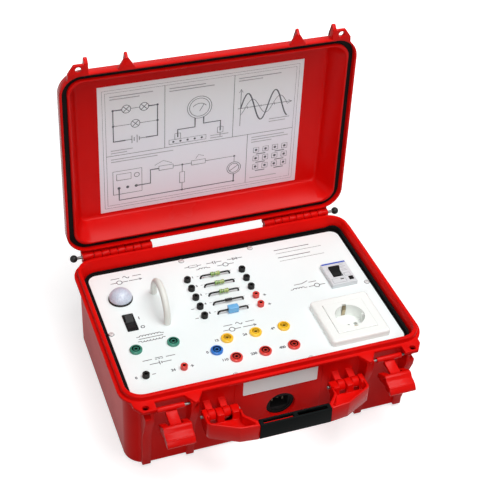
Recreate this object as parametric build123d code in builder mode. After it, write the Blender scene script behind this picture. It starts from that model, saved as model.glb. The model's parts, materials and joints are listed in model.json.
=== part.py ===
"""Electrical demonstration case with its lid open. Millimetres, +Z up, -Y is the front.

The origin is on the floor, under the middle of the lower shell.
"""
from build123d import *
import math
import os

os.makedirs("parts", exist_ok=True)

# Lower shell, with its heights above the floor
FLOOR_TOP = 3.5
PANEL_TOP = 102.0
FLANGE_TOP = 113.0
FLANGE_T = 4.0
FLANGE_W = 398.0
FLANGE_D = 274.0
FLANGE_R = 30.0
WALL_W = 383.0
WALL_D = 260.0
WALL_R = 25.0
WALL_DRAFT = 0.5
CAVITY_W = 372.0
CAVITY_D = 250.0
CAVITY_R = 18.0
CAVITY_FLARE_Z = 98.0
BEAD_H = 7.0
BEAD_OUT_W = 389.0
BEAD_OUT_D = 267.0
BEAD_IN_W = 379.0
BEAD_IN_D = 257.0
BEAD_R = 25.5
BEAD_T = 5.0
FRONT_Y = -130.0
RIB_FOOT_Y = -134.5
RIB_TOP_Y = -150.0
PILLAR_X = 114.0
PILLAR_T = 10.0
CORNER_RIB_X = 170.0
CORNER_RIB_T = 11.0
FIELD_Y = -131.5
FIELD_HALF_W = 58.0

# Padlock ears and guide fins, as plan outlines on the right-hand side
EAR_OUTLINE = [(188, -126), (187, -139), (179, -150.5), (161, -150.5), (161, -134)]
EAR_HOLE = (173.5, -144.0)
EAR_HOLE_R = 3.75
EAR_T = 5.0
SHACKLE_ROOM = 10.0
FIN_OUTLINE = [(102, -134), (102, -138), (111, -152), (115, -152), (124, -138), (124, -134)]

# Hinge at the back
HINGE_Y = 146.0
HINGE_Z = 114.0
BARREL_R = 5.0
HINGE_PIN_R = 2.0
RUNNING_GAP = 0.05
KNUCKLE_EDGES = [82, 98, 109, 120, 131, 142, 153, 164, 180]
KNUCKLE_GAP = 0.5
SHELF_TOP = 108.3
SHELF_T = 4.3
PIN_INNER_X = 83.0
PIN_OUTER_X = 187.5
KNOB_X = 191.5
KNOB_R = 5.2

# Lid, in the heights and depths that it has when it is closed
LID_OPEN = 90.0
LID_RIM_Z = 113.3
LID_BAND_TOP = 127.0
LID_TOP = 155.0
LID_BODY_W = 374.8
LID_BODY_D = 253.8
LID_TAPER = 21.0
LID_INSIDE_Z = 151.0
LID_LIP_Z = 116.0
GUSSET_TIP_Y = -157.0
LID_MOUTH_W = 371.4
LID_MOUTH_D = 249.4
GROOVE_OUT_W = 391.0
GROOVE_OUT_D = 269.5
GROOVE_IN_W = 376.4
GROOVE_IN_D = 254.4
GROOVE_TOP = 124.0
SEAL_Z = 120.3
SHEET_W = 284.0
SHEET_H = 198.5
SHEET_T = 0.8
SHEET_CENTRE = (-1.5, 6.7)

# Latches
LATCH_X = 142.5
LATCH_PIN = (-143.0, 103.0)
LATCH_PIN_R = 1.5
LATCH_BAR_R = 3.5
LATCH_BAR_W = 34.0
TONGUE_W = 14.0
LEVER_PIN = (-167.0, 94.0)
LEVER_PIN_R = 1.2
LEVER_W = 35.0
CHEEK_IN = 9.5
CHEEK_OUT = 16.5

# Carrying handle
HANDLE_PIN = (-150.5, 82.5)
HANDLE_PIN_R = 2.0
HANDLE_BARREL_R = 6.8
HANDLE_LUGS = [(70.5, 79.5), (89.5, 98.5)]
HANDLE_KNUCKLES = [(59.5, 70.0), (80.0, 89.0), (99.0, 105.5)]
HANDLE_LOW = 66.0
HANDLE_HIGH = 90.5
HANDLE_WEB_Z = 77.0
GRIP_HALF = 46.0
GRIP_BACK_Y = -181.8
GRIP_FRONT_Y = -192.5
GRIP_CORE_Y = -187.0
GRIP_CORE_D = 5.4

# Panel and what it carries
PANEL_W = 362.0
PANEL_D = 234.0
PANEL_T = 3.0
PANEL_R = 12.0
PANEL_UNDER = PANEL_TOP - PANEL_T
SCREW_SPOTS = [(-50, 113.5), (50, 113.5), (-177.5, 0), (177.5, 0), (-50, -113.5), (50, -113.5)]
ROWS = [71.0, 52.5, 34.0, 15.5, -3.0]
JACK_LEFT_X = -54.5
JACK_RIGHT_X = 23.0
LEAD_LEFT_X = -36.0
LEAD_RIGHT_X = 5.0
LEAD_R = 1.2
LEAD_Z = PANEL_TOP + 4.5
BLACK_JACKS = [(JACK_LEFT_X, y) for y in ROWS] + [(JACK_RIGHT_X, y) for y in ROWS[:3]] + [(-156, -84.5)]
RED_JACKS = [(JACK_RIGHT_X, y) for y in ROWS[3:]] + [(-107.5, -84.5)]
SAFETY_SOCKETS = {
    "green_sockets": [(-155.5, -37), (-107, -37)],
    "yellow_sockets": [(-40, -50.5), (-1.5, -50.5), (37, -50.5)],
    "blue_socket": [(-59.5, -67.5)],
    "red_sockets": [(-40, -86.5), (-1.5, -86.5), (37, -86.5)],
}
SOCKET_SPOTS = [spot for spots in SAFETY_SOCKETS.values() for spot in spots]
PLUG_BORE_R = 2.0
JACK_R = 3.8
JACK_NECK_R = 3.0
SOCKET_R = 8.0
SOCKET_NECK_R = 5.8
LAMP = (-149.0, 62.0)
LOOP_X = -104.0
LOOP_YS = (-1.0, 62.0)
LOOP_TUBE_R = 4.3
ROCKER = (-149.0, 14.0)
ROCKER_TILT = 9.0
RCD_CENTRE = (145.0, 22.5)
RCD_W = 36.0
RCD_D = 45.0
RCD_TOP = 108.5
TOGGLE_X = 141.5
TOGGLE_PIVOT = (25.0, 101.0)
TOGGLE_LEAN = 35.0
TEST_BUTTON = (157.0, 7.5)
OUTLET = (123.0, -64.5)
OUTLET_W = 81.0
INSERT_W = 55.0
OUTLET_TOP = 111.0
INSERT_TOP = 112.0
RECESS_R = 19.5
RECESS_DEPTH = 17.5
INLET_X = 5.0
INLET_Z = 50.5
INLET_R = 18.8

# Planes that carry the open lid: the first lies in its rim, the second cuts it from front to back
lean = math.radians(LID_OPEN)
lid_plane = Plane(origin=(0, HINGE_Y, HINGE_Z), x_dir=(1, 0, 0), z_dir=(0, math.sin(lean), math.cos(lean)))
lid_side = Plane(origin=(0, HINGE_Y, HINGE_Z), x_dir=lid_plane.y_dir, z_dir=(1, 0, 0))


def level(height):
    """A horizontal plane at a height above the floor."""
    return Plane.XY.offset(height)


def lid_level(closed_height):
    """The plane of the lid that is horizontal at this height when the lid is closed."""
    return lid_plane.offset(closed_height - HINGE_Z)


def side(x):
    """A plane across the case at x, with the sketch's own axes along Y and Z."""
    return Plane.YZ.offset(x)


def mirrored(points):
    """The left-hand copy of an outline drawn on the right."""
    return [(-x, y) for x, y in points]


def in_lid(points):
    """An outline in the closed case's X and Y, measured from the hinge line."""
    return [(x, y - HINGE_Y) for x, y in points]


def knuckle_spans(first):
    """The X spans of every other knuckle on the right, from the first or the second one on."""
    edges = list(zip(KNUCKLE_EDGES[:-1], KNUCKLE_EDGES[1:]))
    return [(low + KNUCKLE_GAP / 2, high - KNUCKLE_GAP / 2) for low, high in edges[first::2]]


def both_sides(spans):
    """Spans on the right, with their copies on the left."""
    return spans + [(-high, -low) for low, high in spans]


BASE_KNUCKLES = both_sides(knuckle_spans(0))
LID_KNUCKLES = both_sides(knuckle_spans(1))

# Lower shell
RIB_PROFILE = [
    (FRONT_Y + 3, 3), (RIB_FOOT_Y, 3), (RIB_FOOT_Y - 2, 55), (RIB_TOP_Y + 1, 88),
    (RIB_TOP_Y, 96), (RIB_TOP_Y, FLANGE_TOP - FLANGE_T + 1), (FRONT_Y + 3, FLANGE_TOP - FLANGE_T + 1),
]
LUG_PROFILE = [
    (FRONT_Y + 2, 88.5), (-144.5, 84.5), (HANDLE_PIN[0], HANDLE_PIN[1] + HANDLE_BARREL_R),
    (HANDLE_PIN[0], HANDLE_PIN[1] - HANDLE_BARREL_R), (FRONT_Y + 2, 62),
]
POST_REACH = 12.0
POST_HALF = 6.0
POST_LOW = 45.0

with BuildPart() as base_shell:
    with BuildSketch(level(0)):
        RectangleRounded(WALL_W, WALL_D, WALL_R)
    extrude(amount=FLANGE_TOP, taper=-WALL_DRAFT)
    fillet(base_shell.faces().sort_by(Axis.Z)[0].edges(), radius=4)
    with BuildSketch(level(FLANGE_TOP - FLANGE_T)):
        RectangleRounded(FLANGE_W, FLANGE_D, FLANGE_R)
    extrude(amount=FLANGE_T)
    with BuildSketch(level(FLANGE_TOP)):
        RectangleRounded(BEAD_OUT_W, BEAD_OUT_D, BEAD_R)
    extrude(amount=BEAD_H)
    fillet(base_shell.faces().sort_by(Axis.Z)[-1].edges(), radius=1.8)
    # Ribs that flank the latch bays, with fins and padlock ears over them
    for centre, width in ((PILLAR_X, PILLAR_T), (CORNER_RIB_X, CORNER_RIB_T)):
        for x in (centre, -centre):
            with BuildSketch(side(x - width / 2)):
                Polygon(*RIB_PROFILE, align=None)
            extrude(amount=width)
    with BuildSketch(level(FLANGE_TOP - EAR_T)):
        for outline in (EAR_OUTLINE, mirrored(EAR_OUTLINE), FIN_OUTLINE, mirrored(FIN_OUTLINE)):
            Polygon(*outline, align=None)
        with Locations(EAR_HOLE, (-EAR_HOLE[0], EAR_HOLE[1])):
            Circle(EAR_HOLE_R, mode=Mode.SUBTRACT)
    extrude(amount=EAR_T)
    # A notch in each corner rib, where a padlock's shackle comes through the ear
    with BuildSketch(level(FLANGE_TOP - EAR_T - SHACKLE_ROOM)):
        for x in (EAR_HOLE[0], -EAR_HOLE[0]):
            with Locations((x, EAR_HOLE[1] - 2)):
                Rectangle(2 * EAR_HOLE_R + 1.5, 2 * EAR_HOLE_R + 5.5)
    extrude(amount=SHACKLE_ROOM, mode=Mode.SUBTRACT)
    with BuildSketch(level(FLANGE_TOP - EAR_T - SHACKLE_ROOM)):
        with Locations(EAR_HOLE, (-EAR_HOLE[0], EAR_HOLE[1])):
            Circle(EAR_HOLE_R)
    extrude(amount=SHACKLE_ROOM + EAR_T, mode=Mode.SUBTRACT)
    with BuildSketch(Plane.XZ.offset(-FIELD_Y - 6)):
        with Locations((0, 66)):
            RectangleRounded(2 * FIELD_HALF_W, 88, 6)
    extrude(amount=6)
    # Hinge shelf and knuckles at the back
    shelf_mid = (KNUCKLE_EDGES[0] + KNUCKLE_EDGES[-1]) / 2
    shelf_w = KNUCKLE_EDGES[-1] - KNUCKLE_EDGES[0]
    for x in (shelf_mid, -shelf_mid):
        with BuildSketch(side(x - shelf_w / 2)):
            Polygon((128, 92), (136, SHELF_TOP - SHELF_T), (150.5, SHELF_TOP - SHELF_T), (150.5, SHELF_TOP),
                    (137, SHELF_TOP), (137, FLANGE_TOP - 1), (128, FLANGE_TOP - 1), align=None)
        extrude(amount=shelf_w)
    for low, high in BASE_KNUCKLES:
        with BuildSketch(side(low)):
            with Locations((HINGE_Y, HINGE_Z)):
                Circle(BARREL_R)
            Polygon((HINGE_Y - BARREL_R, HINGE_Z), (HINGE_Y + BARREL_R - 0.5, HINGE_Z),
                    (150.5, SHELF_TOP - 1), (HINGE_Y - BARREL_R, SHELF_TOP - 1), align=None)
        extrude(amount=high - low)
    # Lugs for the handle, each with a cored-out pocket in its top
    for low, high in both_sides(HANDLE_LUGS):
        with BuildSketch(side(low)):
            Polygon(*LUG_PROFILE, align=None)
            with Locations(HANDLE_PIN):
                Circle(HANDLE_BARREL_R)
        extrude(amount=high - low)
    lug_mids = [(low + high) / 2 for low, high in both_sides(HANDLE_LUGS)]
    with BuildSketch(level(HANDLE_PIN[1] - 1)):
        with Locations(*[(x, HANDLE_PIN[0] + 5.3) for x in lug_mids]):
            Rectangle(5.5, 4.2)
    extrude(amount=10, mode=Mode.SUBTRACT)
    # Hollow inside, with walls that flare to the rim
    with BuildSketch(level(FLOOR_TOP)):
        RectangleRounded(CAVITY_W, CAVITY_D, CAVITY_R)
    extrude(amount=CAVITY_FLARE_Z - FLOOR_TOP, mode=Mode.SUBTRACT)
    flare_rise = FLANGE_TOP + BEAD_H - CAVITY_FLARE_Z
    flare = math.degrees(math.atan((BEAD_IN_W - CAVITY_W) / 2 / flare_rise))
    with BuildSketch(level(CAVITY_FLARE_Z)):
        RectangleRounded(CAVITY_W, CAVITY_D, CAVITY_R)
    extrude(amount=flare_rise, taper=-flare, mode=Mode.SUBTRACT)
    # Screw posts that carry the panel
    for x, y in SCREW_SPOTS:
        along_x = abs(y) < 1
        reach_x = math.copysign(POST_REACH / 2, x) if along_x else 0
        reach_y = 0 if along_x else math.copysign(POST_REACH / 2, y)
        with BuildSketch(level(POST_LOW)):
            with Locations((x + reach_x / 2, y + reach_y / 2)):
                Rectangle(18 if along_x else 2 * POST_HALF, 2 * POST_HALF if along_x else 19)
        extrude(amount=PANEL_UNDER - POST_LOW)
    with BuildSketch(level(PANEL_UNDER - 15)):
        with Locations(*SCREW_SPOTS):
            Circle(1.55)
    extrude(amount=20, mode=Mode.SUBTRACT)
    # Bores for the steel pins, and the round hole for the inlet
    with BuildSketch(side(-PIN_OUTER_X)):
        with Locations((HINGE_Y, HINGE_Z)):
            Circle(HINGE_PIN_R + RUNNING_GAP)
    extrude(amount=2 * PIN_OUTER_X, mode=Mode.SUBTRACT)
    for centre in (LATCH_X, -LATCH_X):
        with BuildSketch(side(centre - 26)):
            with Locations(LATCH_PIN):
                Circle(LATCH_PIN_R + RUNNING_GAP)
        extrude(amount=52, mode=Mode.SUBTRACT)
    with BuildSketch(side(-106)):
        with Locations(HANDLE_PIN):
            Circle(HANDLE_PIN_R + RUNNING_GAP)
    extrude(amount=212, mode=Mode.SUBTRACT)
    with BuildSketch(Plane.XZ.offset(120)):
        with Locations((INLET_X, INLET_Z)):
            Circle(INLET_R + 0.2)
    extrude(amount=20, mode=Mode.SUBTRACT)
base_shell.part.label = "base_shell"
export_step(base_shell.part, "parts/base_shell.step")

with BuildPart() as label_plate:
    with BuildSketch(Plane.XZ.offset(-FIELD_Y)):
        with Locations((2, 95)):
            RectangleRounded(98, 26, 1.5)
    extrude(amount=0.8)
label_plate.part.label = "label_plate"
export_step(label_plate.part, "parts/label_plate.step")

# Panel with its cut-outs
with BuildPart() as front_panel:
    with BuildSketch(level(PANEL_UNDER)):
        RectangleRounded(PANEL_W, PANEL_D, PANEL_R)
        with Locations(*SCREW_SPOTS):
            Circle(1.7, mode=Mode.SUBTRACT)
        with Locations(*BLACK_JACKS, *RED_JACKS):
            Circle(JACK_NECK_R + 0.1, mode=Mode.SUBTRACT)
        with Locations(*SOCKET_SPOTS):
            Circle(SOCKET_NECK_R + 0.1, mode=Mode.SUBTRACT)
        with Locations(*[(x, y) for x in (LEAD_LEFT_X, LEAD_RIGHT_X) for y in ROWS]):
            Circle(LEAD_R + 0.1, mode=Mode.SUBTRACT)
        with Locations(LAMP):
            Circle(11.1, mode=Mode.SUBTRACT)
        with Locations(*[(LOOP_X, y) for y in LOOP_YS]):
            Circle(LOOP_TUBE_R + 0.1, mode=Mode.SUBTRACT)
        with Locations(ROCKER):
            Rectangle(12.4, 27.6, mode=Mode.SUBTRACT)
        with Locations(RCD_CENTRE):
            Rectangle(RCD_W + 0.4, RCD_D + 0.4, mode=Mode.SUBTRACT)
        with Locations(OUTLET):
            Circle(26.6, mode=Mode.SUBTRACT)
    extrude(amount=PANEL_T)
front_panel.part.label = "front_panel"
export_step(front_panel.part, "parts/front_panel.step")

with BuildPart() as panel_edge_strip:
    with BuildSketch(level(PANEL_UNDER)):
        RectangleRounded(CAVITY_W - 0.2, CAVITY_D - 0.2, CAVITY_R)
        RectangleRounded(PANEL_W + 0.2, PANEL_D + 0.2, PANEL_R, mode=Mode.SUBTRACT)
    extrude(amount=PANEL_T - 0.8)
panel_edge_strip.part.label = "panel_edge_strip"
export_step(panel_edge_strip.part, "parts/panel_edge_strip.step")

with BuildPart() as panel_screws:
    with BuildSketch(level(PANEL_TOP)):
        with Locations(*SCREW_SPOTS):
            Circle(3.4)
    extrude(amount=1.6)
    fillet(panel_screws.faces().group_by(Axis.Z)[-1].edges(), radius=0.9)
    with BuildSketch(level(PANEL_UNDER - 10)):
        with Locations(*SCREW_SPOTS):
            Circle(1.5)
    extrude(amount=10 + PANEL_T)
    with BuildSketch(level(PANEL_TOP + 0.7)):
        for x, y in SCREW_SPOTS:
            with Locations((x, y)):
                Rectangle(3.6, 0.8)
                Rectangle(0.8, 3.6)
    extrude(amount=2, mode=Mode.SUBTRACT)
panel_screws.part.label = "panel_screws"
export_step(panel_screws.part, "parts/panel_screws.step")

# Small jacks for 4 mm plugs, and the sleeves inside them
jack_nodes = {"black_jacks": BLACK_JACKS, "red_jacks": RED_JACKS}
for node, spots in jack_nodes.items():
    with BuildPart() as jacks:
        with BuildSketch(level(PANEL_TOP)):
            with Locations(*spots):
                Circle(JACK_R)
        extrude(amount=6)
        fillet(jacks.faces().group_by(Axis.Z)[-1].edges(), radius=0.6)
        with BuildSketch(level(PANEL_TOP - 12)):
            with Locations(*spots):
                Circle(JACK_NECK_R)
        extrude(amount=12)
        with BuildSketch(level(PANEL_TOP - 12)):
            with Locations(*spots):
                Circle(2.5)
        extrude(amount=20, mode=Mode.SUBTRACT)
    jacks.part.label = node
    export_step(jacks.part, f"parts/{node}.step")

with BuildPart() as jack_sleeves:
    with BuildSketch(level(PANEL_TOP - 16)):
        with Locations(*BLACK_JACKS, *RED_JACKS):
            Circle(2.5)
            Circle(PLUG_BORE_R, mode=Mode.SUBTRACT)
    extrude(amount=21)
jack_sleeves.part.label = "jack_sleeves"
export_step(jack_sleeves.part, "parts/jack_sleeves.step")

# Safety sockets: a shrouded annular recess round an insulated sleeve
for node, spots in SAFETY_SOCKETS.items():
    with BuildPart() as sockets:
        with BuildSketch(level(PANEL_TOP)):
            with Locations(*spots):
                Circle(SOCKET_R)
        extrude(amount=3.6)
        chamfer(sockets.faces().group_by(Axis.Z)[-1].edges(), length=1.1)
        with BuildSketch(level(PANEL_TOP - 24)):
            with Locations(*spots):
                Circle(SOCKET_NECK_R)
        extrude(amount=24)
        with BuildSketch(level(PANEL_TOP - 20)):
            with Locations(*spots):
                Circle(4.8)
                Circle(3.1, mode=Mode.SUBTRACT)
        extrude(amount=30, mode=Mode.SUBTRACT)
        with BuildSketch(level(PANEL_TOP - 24)):
            with Locations(*spots):
                Circle(2.6)
        extrude(amount=30, mode=Mode.SUBTRACT)
    sockets.part.label = node
    export_step(sockets.part, f"parts/{node}.step")

with BuildPart() as socket_sleeves:
    with BuildSketch(level(PANEL_TOP - 30)):
        with Locations(*SOCKET_SPOTS):
            Circle(2.6)
            Circle(PLUG_BORE_R, mode=Mode.SUBTRACT)
    extrude(amount=31)
socket_sleeves.part.label = "socket_sleeves"
export_step(socket_sleeves.part, "parts/socket_sleeves.step")

with BuildPart() as socket_nuts:
    with BuildSketch(level(PANEL_UNDER - 5)):
        with Locations(*SOCKET_SPOTS):
            RegularPolygon(radius=9, side_count=6)
            Circle(SOCKET_NECK_R + 0.05, mode=Mode.SUBTRACT)
    extrude(amount=5)
socket_nuts.part.label = "socket_nuts"
export_step(socket_nuts.part, "parts/socket_nuts.step")

# Sample components on sleeved leads
BODY_HALVES = [6.5, 6.5, 6.5, 4.5, 7.0]
BODY_X = (LEAD_LEFT_X + LEAD_RIGHT_X) / 2

with BuildPart() as component_leads:
    for y, half in zip(ROWS, BODY_HALVES):
        for foot_x, body_x in ((LEAD_LEFT_X, BODY_X - half), (LEAD_RIGHT_X, BODY_X + half)):
            with BuildLine(Plane.XZ.offset(-y)) as route:
                FilletPolyline((foot_x, PANEL_UNDER - 2), (foot_x, LEAD_Z), (body_x, LEAD_Z), radius=3.6)
            with BuildSketch(Plane(origin=(foot_x, y, PANEL_UNDER - 2), z_dir=(0, 0, 1))):
                Circle(LEAD_R)
            sweep(path=route.wires()[0])
component_leads.part.label = "component_leads"
export_step(component_leads.part, "parts/component_leads.step")

with BuildPart() as resistors:
    for y in ROWS[:3]:
        with BuildSketch(side(BODY_X - 6.5)):
            with Locations((y, LEAD_Z)):
                Circle(2.3)
        extrude(amount=13)
        for x in (BODY_X - 6.5, BODY_X + 2.5):
            with BuildSketch(side(x)):
                with Locations((y, LEAD_Z)):
                    Circle(2.8)
            extrude(amount=4)
    body_ends = resistors.faces().filter_by(Axis.X).group_by(Axis.X)
    fillet(body_ends[0].edges() + body_ends[-1].edges(), radius=0.9)
resistors.part.label = "resistors"
export_step(resistors.part, "parts/resistors.step")

with BuildPart() as diode:
    with BuildSketch(side(BODY_X - BODY_HALVES[3])):
        with Locations((ROWS[3], LEAD_Z)):
            Circle(1.9)
    extrude(amount=2 * BODY_HALVES[3])
diode.part.label = "diode"
export_step(diode.part, "parts/diode.step")

with BuildPart() as capacitor:
    with BuildSketch(level(PANEL_TOP + 1)):
        with Locations((BODY_X, ROWS[4])):
            Rectangle(2 * BODY_HALVES[4], 8.5)
    extrude(amount=8)
    fillet(capacitor.edges().filter_by(Axis.Z), radius=1.2)
    fillet(capacitor.faces().sort_by(Axis.Z)[-1].edges(), radius=0.9)
capacitor.part.label = "capacitor"
export_step(capacitor.part, "parts/capacitor.step")

# Pilot lamp
BEZEL_H = 2.6
with BuildPart() as lamp_bezel:
    with BuildSketch(level(PANEL_TOP)):
        with Locations(LAMP):
            Circle(16)
    extrude(amount=BEZEL_H)
    chamfer(lamp_bezel.faces().sort_by(Axis.Z)[-1].edges(), length=0.7)
    with BuildSketch(level(PANEL_TOP - 22)):
        with Locations(LAMP):
            Circle(11)
    extrude(amount=22)
    with BuildSketch(level(PANEL_TOP - 18)):
        with Locations(LAMP):
            Circle(9)
    extrude(amount=30, mode=Mode.SUBTRACT)
lamp_bezel.part.label = "lamp_bezel"
export_step(lamp_bezel.part, "parts/lamp_bezel.step")

LENS_R = 15.0
LENS_H = 13.0
with BuildPart() as lamp_lens:
    with BuildSketch(level(PANEL_TOP + BEZEL_H)):
        with Locations(LAMP):
            Circle(LENS_R)
    extrude(amount=LENS_H)
    dome_rise = LENS_H - 3
    dome_r = (LENS_R ** 2 + dome_rise ** 2) / (2 * dome_rise)
    with Locations((*LAMP, PANEL_TOP + BEZEL_H + LENS_H - dome_r)):
        Sphere(dome_r, mode=Mode.INTERSECT)
    with BuildSketch(level(PANEL_TOP + BEZEL_H)):
        with Locations(LAMP):
            Circle(11)
    extrude(amount=5, mode=Mode.SUBTRACT)
lamp_lens.part.label = "lamp_lens"
export_step(lamp_lens.part, "parts/lamp_lens.step")

# Current loop: a rigid arch with both feet through the panel
LOOP_SPRING_Z = 107.0
with BuildPart() as current_loop:
    loop_mid = (LOOP_YS[0] + LOOP_YS[1]) / 2
    loop_r = (LOOP_YS[1] - LOOP_YS[0]) / 2
    with BuildLine(side(LOOP_X)) as arch:
        Line((LOOP_YS[0], PANEL_UNDER - 6), (LOOP_YS[0], LOOP_SPRING_Z))
        CenterArc((loop_mid, LOOP_SPRING_Z), loop_r, 180, -180)
        Line((LOOP_YS[1], LOOP_SPRING_Z), (LOOP_YS[1], PANEL_UNDER - 6))
    with BuildSketch(Plane(origin=(LOOP_X, LOOP_YS[0], PANEL_UNDER - 6), z_dir=(0, 0, 1))):
        Circle(LOOP_TUBE_R)
    sweep(path=arch.wires()[0])
current_loop.part.label = "current_loop"
export_step(current_loop.part, "parts/current_loop.step")

# Rocker switch
with BuildPart() as rocker_frame:
    with BuildSketch(level(PANEL_TOP)):
        with Locations(ROCKER):
            RectangleRounded(14.4, 31.6, 1)
    extrude(amount=1.8)
    chamfer(rocker_frame.faces().sort_by(Axis.Z)[-1].edges(), length=0.5)
    with BuildSketch(level(PANEL_TOP - 20)):
        with Locations(ROCKER):
            Rectangle(12.2, 27.4)
    extrude(amount=20)
    with BuildSketch(level(PANEL_TOP - 12)):
        with Locations(ROCKER):
            Rectangle(10.8, 25.6)
    extrude(amount=20, mode=Mode.SUBTRACT)
rocker_frame.part.label = "rocker_frame"
export_step(rocker_frame.part, "parts/rocker_frame.step")

with BuildPart() as rocker_button:
    tilt = Plane(origin=(ROCKER[0], ROCKER[1], PANEL_TOP), x_dir=(0, math.cos(math.radians(ROCKER_TILT)),
                 math.sin(math.radians(ROCKER_TILT))), z_dir=(1, 0, 0))
    with BuildSketch(tilt.offset(-5.0)):
        with BuildLine():
            Polyline((11.6, -1.5), (11.6, 3.4), (0, 1.2), (-11.6, 3.4), (-11.6, -1.5))
            ThreePointArc((-11.6, -1.5), (0, -9), (11.6, -1.5))
        make_face()
    extrude(amount=10.0)
rocker_button.part.label = "rocker_button"
export_step(rocker_button.part, "parts/rocker_button.step")

# Residual current device
with BuildPart() as rcd_body:
    with BuildSketch(level(44)):
        with Locations(RCD_CENTRE):
            Rectangle(RCD_W - 0.4, 85)
    extrude(amount=PANEL_UNDER - 0.5 - 44)
    with BuildSketch(level(90)):
        with Locations(RCD_CENTRE):
            Rectangle(RCD_W, RCD_D)
    extrude(amount=RCD_TOP - 90)
    chamfer(rcd_body.faces().sort_by(Axis.Z)[-1].edges(), length=0.7)
    with BuildSketch(side(TOGGLE_X - 7.2)):
        with Locations(TOGGLE_PIVOT):
            Circle(7.6)
        Polygon((14, RCD_TOP + 2), (16.5, TOGGLE_PIVOT[1]), (33.5, TOGGLE_PIVOT[1]), (36, RCD_TOP + 2),
                align=None)
    extrude(amount=14.4, mode=Mode.SUBTRACT)
    with BuildSketch(level(100)):
        with Locations(TEST_BUTTON):
            Rectangle(6.4, 6.4)
    extrude(amount=20, mode=Mode.SUBTRACT)
    with BuildSketch(level(40)):
        with Locations((RCD_CENTRE[0], RCD_CENTRE[1])):
            Rectangle(60, 35.8)
    extrude(amount=9.5, mode=Mode.SUBTRACT)
rcd_body.part.label = "rcd_body"
export_step(rcd_body.part, "parts/rcd_body.step")

with BuildPart() as rcd_marking_strip:
    with BuildSketch(level(RCD_TOP)):
        with Locations((RCD_CENTRE[0], RCD_CENTRE[1] + 20)):
            Rectangle(RCD_W - 1.6, 2.4)
    extrude(amount=0.3)
rcd_marking_strip.part.label = "rcd_marking_strip"
export_step(rcd_marking_strip.part, "parts/rcd_marking_strip.step")

with BuildPart() as rcd_toggle:
    lean_dir = (0, math.cos(math.radians(TOGGLE_LEAN)), -math.sin(math.radians(TOGGLE_LEAN)))
    toggle_plane = Plane(origin=(TOGGLE_X, *TOGGLE_PIVOT), x_dir=lean_dir, z_dir=(1, 0, 0))
    with BuildSketch(toggle_plane.offset(-6.9)):
        Circle(7.2)
        Polygon((-4.2, 0), (4.2, 0), (3.2, 13.5), (-3.2, 13.5), align=None)
    extrude(amount=13.8)
rcd_toggle.part.label = "rcd_toggle"
export_step(rcd_toggle.part, "parts/rcd_toggle.step")

with BuildPart() as rcd_test_button:
    with BuildSketch(level(102.5)):
        with Locations(TEST_BUTTON):
            Rectangle(5.8, 5.8)
    extrude(amount=7.6)
    fillet(rcd_test_button.faces().sort_by(Axis.Z)[-1].edges(), radius=0.7)
rcd_test_button.part.label = "rcd_test_button"
export_step(rcd_test_button.part, "parts/rcd_test_button.step")

with BuildPart() as mounting_rail:
    with BuildSketch(side(RCD_CENTRE[0] - 30)):
        with Locations((RCD_CENTRE[1], 45.5)):
            Rectangle(27, 1)
        with Locations((RCD_CENTRE[1] - 13.5, 47.25), (RCD_CENTRE[1] + 13.5, 47.25)):
            Rectangle(1, 4.5)
        with Locations((RCD_CENTRE[1] - 15.2, 49), (RCD_CENTRE[1] + 15.2, 49)):
            Rectangle(4.4, 1)
    extrude(amount=52)
mounting_rail.part.label = "mounting_rail"
export_step(mounting_rail.part, "parts/mounting_rail.step")

# Mains outlet
with BuildPart() as outlet_frame:
    with BuildSketch(level(PANEL_TOP)):
        with Locations(OUTLET):
            RectangleRounded(OUTLET_W, OUTLET_W, 5)
    extrude(amount=OUTLET_TOP - PANEL_TOP)
    fillet(outlet_frame.faces().sort_by(Axis.Z)[-1].edges(), radius=3.5)
    with BuildSketch(level(PANEL_TOP)):
        with Locations(OUTLET):
            RectangleRounded(INSERT_W + 0.6, INSERT_W + 0.6, 1.6)
    extrude(amount=30, mode=Mode.SUBTRACT)
outlet_frame.part.label = "outlet_frame"
export_step(outlet_frame.part, "parts/outlet_frame.step")

with BuildPart() as outlet_insert:
    with BuildSketch(level(PANEL_TOP)):
        with Locations(OUTLET):
            RectangleRounded(INSERT_W, INSERT_W, 1.4)
    extrude(amount=INSERT_TOP - PANEL_TOP)
    fillet(outlet_insert.faces().sort_by(Axis.Z)[-1].edges(), radius=1.0)
    with BuildSketch(level(78)):
        with Locations(OUTLET):
            Circle(26.5)
    extrude(amount=PANEL_TOP - 78)
    with BuildSketch(level(INSERT_TOP - RECESS_DEPTH)):
        with Locations(OUTLET):
            Circle(RECESS_R)
    extrude(amount=30, mode=Mode.SUBTRACT)
    # Keying ribs left and right, slots for the earth clips front and back, and contact holes
    with BuildSketch(level(INSERT_TOP - RECESS_DEPTH)):
        with Locations((OUTLET[0] - RECESS_R + 0.8, OUTLET[1]), (OUTLET[0] + RECESS_R - 0.8, OUTLET[1])):
            Rectangle(2.4, 4)
    extrude(amount=RECESS_DEPTH - 3)
    with BuildSketch(level(INSERT_TOP - RECESS_DEPTH)):
        with Locations((OUTLET[0], OUTLET[1] - RECESS_R - 0.6), (OUTLET[0], OUTLET[1] + RECESS_R + 0.6)):
            Rectangle(6, 3)
    extrude(amount=30, mode=Mode.SUBTRACT)
    with BuildSketch(level(84)):
        with Locations((OUTLET[0] - 9.5, OUTLET[1]), (OUTLET[0] + 9.5, OUTLET[1])):
            Circle(2.6)
        with Locations(OUTLET):
            Circle(1.6)
    extrude(amount=20, mode=Mode.SUBTRACT)
outlet_insert.part.label = "outlet_insert"
export_step(outlet_insert.part, "parts/outlet_insert.step")

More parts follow.
